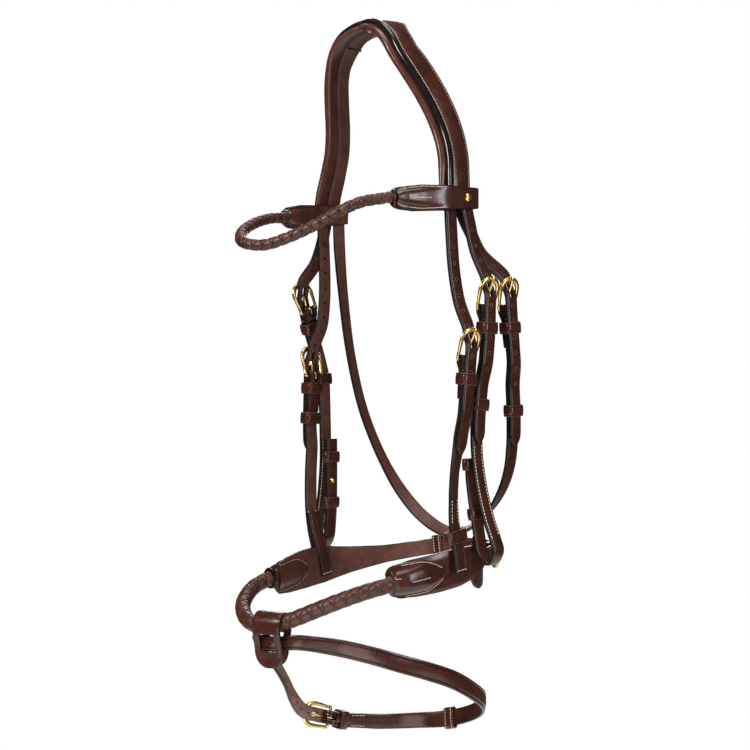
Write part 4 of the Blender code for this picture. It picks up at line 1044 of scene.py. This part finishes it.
def boot(name, panel_points):
    """A moulded boot over the cord's end: an oval mouth, a domed middle and stitched flanges."""
    route = Route(panel_points, radial(panel_points), step=2.0)
    start = 4.0
    stations = np.concatenate([np.linspace(start, 36, 20), np.linspace(37.5, BOOT_LENGTH, 13)])
    places = [route.at(s) for s in stations]
    taper = np.clip((stations - 30) / (BOOT_LENGTH + 0.2 - 30), 0, None)
    corner = np.interp(stations, [start, start + 1.2, start + 3.5, start + 7], [0.70, 0.82, 0.94, 1.0])
    halves = np.clip(BOOT_HALF_WIDTH * (1 - taper ** 1.7) ** 0.78 * corner, 1.0, None)
    domes = np.interp(stations, [start, start + 2, 18, 32, 44, BOOT_LENGTH],
                      [12.6, 13.6, 12.8, 9.0, 4.0, 1.2])
    fractions = [1.0, 0.96, 0.9, 0.84, 0.78, 0.7, 0.58, 0.42, 0.22, 0.0]
    fractions = fractions + [-f for f in reversed(fractions[:-1])]

    def section(i):
        rows = []
        for f in fractions:
            swell = max(0.0, 1 - (abs(f) / 0.80) ** 2.8) ** 0.55
            at_edge = abs(f) > 0.97
            rows.append((halves[i] * f, 1.2 + (-0.3 if at_edge else 0.3) + max(0.0, domes[i] - 1.5) * swell,
                         EDGE if at_edge else GRAIN))
        return rows + [(-halves[i], 0.0, EDGE), (halves[i], 0.0, EDGE)]

    shape = Shape()
    frames = sweep(shape, [place + out * (STRAP_THICK / 2 + 0.4) for place, _, out, _ in places],
                   [out for _, _, out, _ in places], section)
    for sign in (1, -1):
        shape.rows_on(frames, sign * halves * 0.885, 1.72, BOOT_STITCH, 6, len(stations) - 2)
    shape.rows_on(frames, 0.4, domes + 0.08, BOOT_STITCH, 9, 20)
    shape.rows_on(frames, -4.2, domes - 0.35, MOUTH_STITCH, 1, 5)
    # The rolled mouth, closed by a dark face: painted shade in the gap round the cord.
    place, along, out, side = frames[0]
    middle = place + out * 6.9
    ring_tube(shape, ring_of(middle, side * 9.2, out * 6.4, 1, 32), 0.8, GRAIN, sides=8, closed=True)
    shape.add(ring_of(middle - along * 0.12, side * 8.8, out * 6.0, 1, 32), [tuple(range(32))], EDGE)
    shape.make(name, "noseband")


def boot_lining(name, panel_points):
    """The boot's stitched outline and low swelling on the inner face of the panel."""
    route = Route(panel_points, radial(panel_points), step=2.0)
    stations = np.linspace(3.5, BOOT_LENGTH - 4, 26)
    places = [route.at(s) for s in stations]
    taper = np.clip((stations - 28) / (BOOT_LENGTH - 32), 0, None)
    halves = np.clip(14.0 * (1 - np.minimum(taper, 1) ** 2.0) ** 0.7, 1.0, None)
    fractions = [1.0, 0.9, 0.75, 0.55, 0.3, 0.0, -0.3, -0.55, -0.75, -0.9, -1.0]

    def section(i):
        rise = 3.0 * (math.sin(math.pi * min(1.0, (i + 2) / 9)) if i < 3 else 1 - (i / 25) ** 3)
        rows = [(halves[i] * f, 0.55 + max(0.2, rise) * max(0.0, 1 - (f / 0.72) ** 2) ** 1.2, ROLL)
                for f in fractions]
        return rows + [(-halves[i], 0.0, EDGE), (halves[i], 0.0, EDGE)]

    shape = Shape()
    frames = sweep(shape, [place - out * (STRAP_THICK / 2 - 0.3) for place, _, out, _ in places],
                   [-out for _, _, out, _ in places], section)
    for sign in (-1, 1):
        shape.rows_on(frames, sign * halves * 0.88, 0.62, LINING_STITCH, 1, len(stations) - 1)
    shape.make(name, "noseband", in_cad=False)


def noseband():
    # The plait runs on past the cord's ends into the boots' mouths.
    cord = [(71.6, -47.5, -490.2)] + NOSE_CORD + [(-76.2, -71.2, -498.4)]
    plait("noseband_plait", cord, 6.8, 10.4, 0.16, "noseband", 3.0)
    chin_points = [(62, 80, -471.5), (54.5, 87.5, -471.5), (43, 93.5, -471.5), (25, 97.5, -472),
                   (5, 98.5, -472.5)] + OFF_PANEL
    chin = Buckled(Route(chin_points, radial(chin_points)), width=16.0, fold=34.0)
    knots = lengths_along(np.array(chin_points))
    knots = knots / knots[-1] * chin.route.length

    def widths(s):
        end = np.clip(1 - (chin.route.length - s) / 7.0, 0, 1)
        return np.interp(s, knots, [16] * 5 + OFF_HEIGHTS) * math.sqrt(1 - 0.55 * end ** 2)

    chin.strap("off_noseband_panel", "noseband", "plain", widths=widths)
    chin.buckle("chin_buckle", "noseband")
    chin.tongue("chin_tongue")
    panel_y = [point[1] for point in NEAR_PANEL]

    def taper(route):
        """The panel's height, then the billet's width."""
        sizes = []
        for (x, y, _), s in zip(route.points, route.along):
            corner = np.interp(s, [0, 1.9, 3.8, 7.6], [0.62, 0.86, 0.95, 1.0])
            sizes.append(np.interp(y, panel_y, NEAR_HEIGHTS) * corner if x > 60 and y < 50 else 15.5)
        return sizes

    chin.billet("near_noseband_panel", NEAR_PANEL, radial(NEAR_PANEL), 106, "noseband", 0, 3, "plain", taper)
    keeper("chin_keeper", 92.0, chin, "noseband", fit=0.6, stitched=True)
    boot("near_noseband_boot", NEAR_PANEL)
    off_front = OFF_PANEL[::-1][:5]
    boot("off_noseband_boot", off_front)
    boot_lining("off_boot_lining", off_front)
    # The guard behind the chin buckle.
    points = [(78.4, 37, -478), (76, 44, -477.5), (70.5, 56, -476.5), (64, 65.5, -475.5), (56, 74, -475),
              (46.5, 80.6, -474)]
    route = Route(points, radial(points), step=1.5)
    spread = 54 * np.sqrt(np.clip(1 - np.abs(np.linspace(-1, 1, len(route.points))) ** 2.6, 0.02, 1))
    shape = Shape()
    sweep(shape, route.points, route.out, lambda i: strap_section(spread[i], 2.6, "crease"))
    shape.make("chin_guard", "noseband")


# --- flash

def flash():
    cord = curve(NOSE_CORD, 4.0)[0]
    nearest = int(np.argmin(np.abs(cord[:, 0] + 1)))
    place = cord[nearest]
    width_axis = unit(tangents(cord)[nearest] * (1, 1, 0))
    front = np.array([-width_axis[1], width_axis[0], 0])
    down = np.array([0.0, 0.0, -1.0])
    # The tab goes up in front of the cord, over it and down behind.
    layer = [(7, 9.1), (17, 6.4), (26, 4.7), (32.5, 3.9), (37.5, 3.6)]
    over = [front * math.cos(a) - down * math.sin(a) for a in np.linspace(0, math.pi, 9)]
    points = [place + down * d + front * g for d, g in reversed(layer)]
    points += [place + ray * (NOSE_CORD_RADIUS + 3.0) for ray in over]
    points += [place + down * d - front * g for d, g in layer]
    tab = Route(points, [front] * len(layer) + over + [-front] * len(layer), step=1.3)

    def section(i):
        fade = np.clip((np.dot(tab.points[i] - place, down) - 23.5) / 14.6, 0, 1)
        return strap_section(27.5 * math.sqrt(max(0.03, 1 - fade ** 2.2)), 2.4, "crease")

    shape = Shape()
    sweep(shape, tab.points, tab.out, section)
    window = place + down * 15.6
    corners = [window + down * d + width_axis * w
               for d, w in ((-7.6, -7.2), (-7.6, 7.2), (7.6, 7.2), (7.6, -7.2))]
    verts = [corner + front * reach for reach in (-14, 14) for corner in corners]
    shape.make("flash_tab", "flash", cutters=[(verts, tube_faces(2, 4))])

    strap_points = [(-61, -11, -631), (-63.5, 9, -637), (-63, 35, -641.5), (-57, 62, -644),
                    (-42, 84, -643.5), (-18, 96.5, -640), (8, 101, -632), (30, 98, -622),
                    (48, 84, -610.5), (59, 60, -597), (63.5, 32, -583), (63, 4, -572.5),
                    (56, -24, -563), (45, -50, -554), (30, -74, -547),
                    window - width_axis * 24 - front * 2 - down * 0.9,
                    window - width_axis * 11 + down * 0.6, window + front * 4.4 + down * 0.6,
                    window + width_axis * 11 + down * 0.6]
    outs = radial(strap_points, centre=(0, -5))
    outs[-4:] = [front] * 4
    for out in outs[5:12]:
        out[2] = -0.25
    strap = Buckled(Route(strap_points, outs), fold=40.0)
    total = strap.route.length

    def widths(s):
        return float(np.interp(s, [0, 60, 140, 300, total - 70, total - 25],
                               [13, 14.6, 15.6, 16.4, 15.4, 12.4]))

    strap.strap("flash_strap", "flash", "raised", widths=widths, stitched=[(12, 52)], under_mat=GRAIN)
    strap.buckle("flash_buckle", "flash")
    strap.tongue("flash_tongue")
    upper = [window + width_axis * 18.5 - front * 3 + down * 1.5,
             window + width_axis * 18.5 - front * 10 + down * 6, (-25, -99, -566),
             (-31, -84, -583), (-42, -68, -601), (-52, -51, -616)]
    upper_outs = [unit(front + 0.6 * width_axis), (-0.9, -0.4, -0.1), (-0.8, -0.55, -0.2),
                  (-0.8, -0.5, -0.2), (-0.9, -0.35, -0.1), (-1, -0.15, 0)]
    strap.billet("flash_billet", upper, upper_outs, 74, "flash", 4, 3, under_mat=TAN)
    keeper("flash_keeper", 20.0, strap, "flash", length=9.5)
    keeper("flash_rear_keeper", 136.0, strap, "flash", with_billet=False, length=11, fit=0.6,
           stitched=True, widen=1.4)


# --- studio

def area(name, place, target, size, power, colour=(1, 1, 1)):
    light = bpy.data.lights.new(name, "AREA")
    light.shape = "RECTANGLE"
    light.size, light.size_y = size
    light.energy = power
    light.color = colour
    obj = bpy.data.objects.new(name, light)
    obj.location = place
    obj.rotation_euler = (Vector(target) - Vector(place)).to_track_quat("-Z", "Y").to_euler()
    scene.collection.objects.link(obj)


def studio():
    centre = Vector((-0.0029, -0.0035, -0.311))
    camera = bpy.data.cameras.new("camera")
    camera.lens = 76.5
    camera.sensor_width = 36.0
    obj = bpy.data.objects.new("camera", camera)
    obj.location = (1.1079, -0.9355, -0.311)
    obj.rotation_euler = (centre - obj.location).to_track_quat("-Z", "Y").to_euler()
    scene.collection.objects.link(obj)
    scene.camera = obj

    floor_radius, floor_z, floor_sides = 0.95, -0.97, 96
    mesh = bpy.data.meshes.new("floor")
    ring = ring_of(np.array([0, 0, floor_z]), np.array([1, 0, 0]), np.array([0, 1, 0]), floor_radius,
                   floor_sides)
    mesh.from_pydata(ring, [], [tuple(range(floor_sides))])
    floor = bpy.data.objects.new("floor", mesh)
    mat, _, shader = new_material("pale_floor")
    shader.inputs["Base Color"].default_value = (0.82, 0.82, 0.81, 1)
    shader.inputs["Roughness"].default_value = 0.8
    shader.inputs["Emission Color"].default_value = (1, 1, 1, 1)
    shader.inputs["Emission Strength"].default_value = 0.2
    mesh.materials.append(mat)
    scene.collection.objects.link(floor)

    # The backdrop is seen as white, and lights the leather only faintly.
    world = bpy.data.worlds.new("studio")
    world.use_nodes = True
    tree = world.node_tree
    seen = tree.nodes["Background"]
    seen.inputs["Color"].default_value = (1, 1, 1, 1)
    seen.inputs["Strength"].default_value = 1.0
    fill = tree.nodes.new("ShaderNodeBackground")
    fill.inputs["Color"].default_value = (1.0, 0.97, 0.95, 1)
    fill.inputs["Strength"].default_value = 0.10
    path = tree.nodes.new("ShaderNodeLightPath")
    mix = tree.nodes.new("ShaderNodeMixShader")
    tree.links.new(path.outputs["Is Camera Ray"], mix.inputs["Fac"])
    tree.links.new(fill.outputs["Background"], mix.inputs[1])
    tree.links.new(seen.outputs["Background"], mix.inputs[2])
    tree.links.new(mix.outputs["Shader"], tree.nodes["World Output"].inputs["Surface"])
    scene.world = world

    area("key", (0.15, -1.65, 0.55), centre, (0.6, 0.6), 34, (1.0, 0.98, 0.96))
    area("side", (1.75, 0.25, 0.1), centre, (0.35, 1.3), 18, (0.92, 0.95, 1.0))
    area("top", (0.1, -0.1, 1.3), (0, 0, -0.2), (1.0, 1.0), 16)
    area("rear", (-1.2, 1.2, 0.35), centre, (0.9, 1.2), 22)
    area("under", (0.5, -0.5, -0.93), (0, 0, -0.4), (0.8, 0.8), 5)
    scene.view_settings.view_transform = "Standard"
    scene.view_settings.look = "None"


studio()
crown()
browband()
hangers()
cheekpieces()
throatlash()
noseband()
flash()
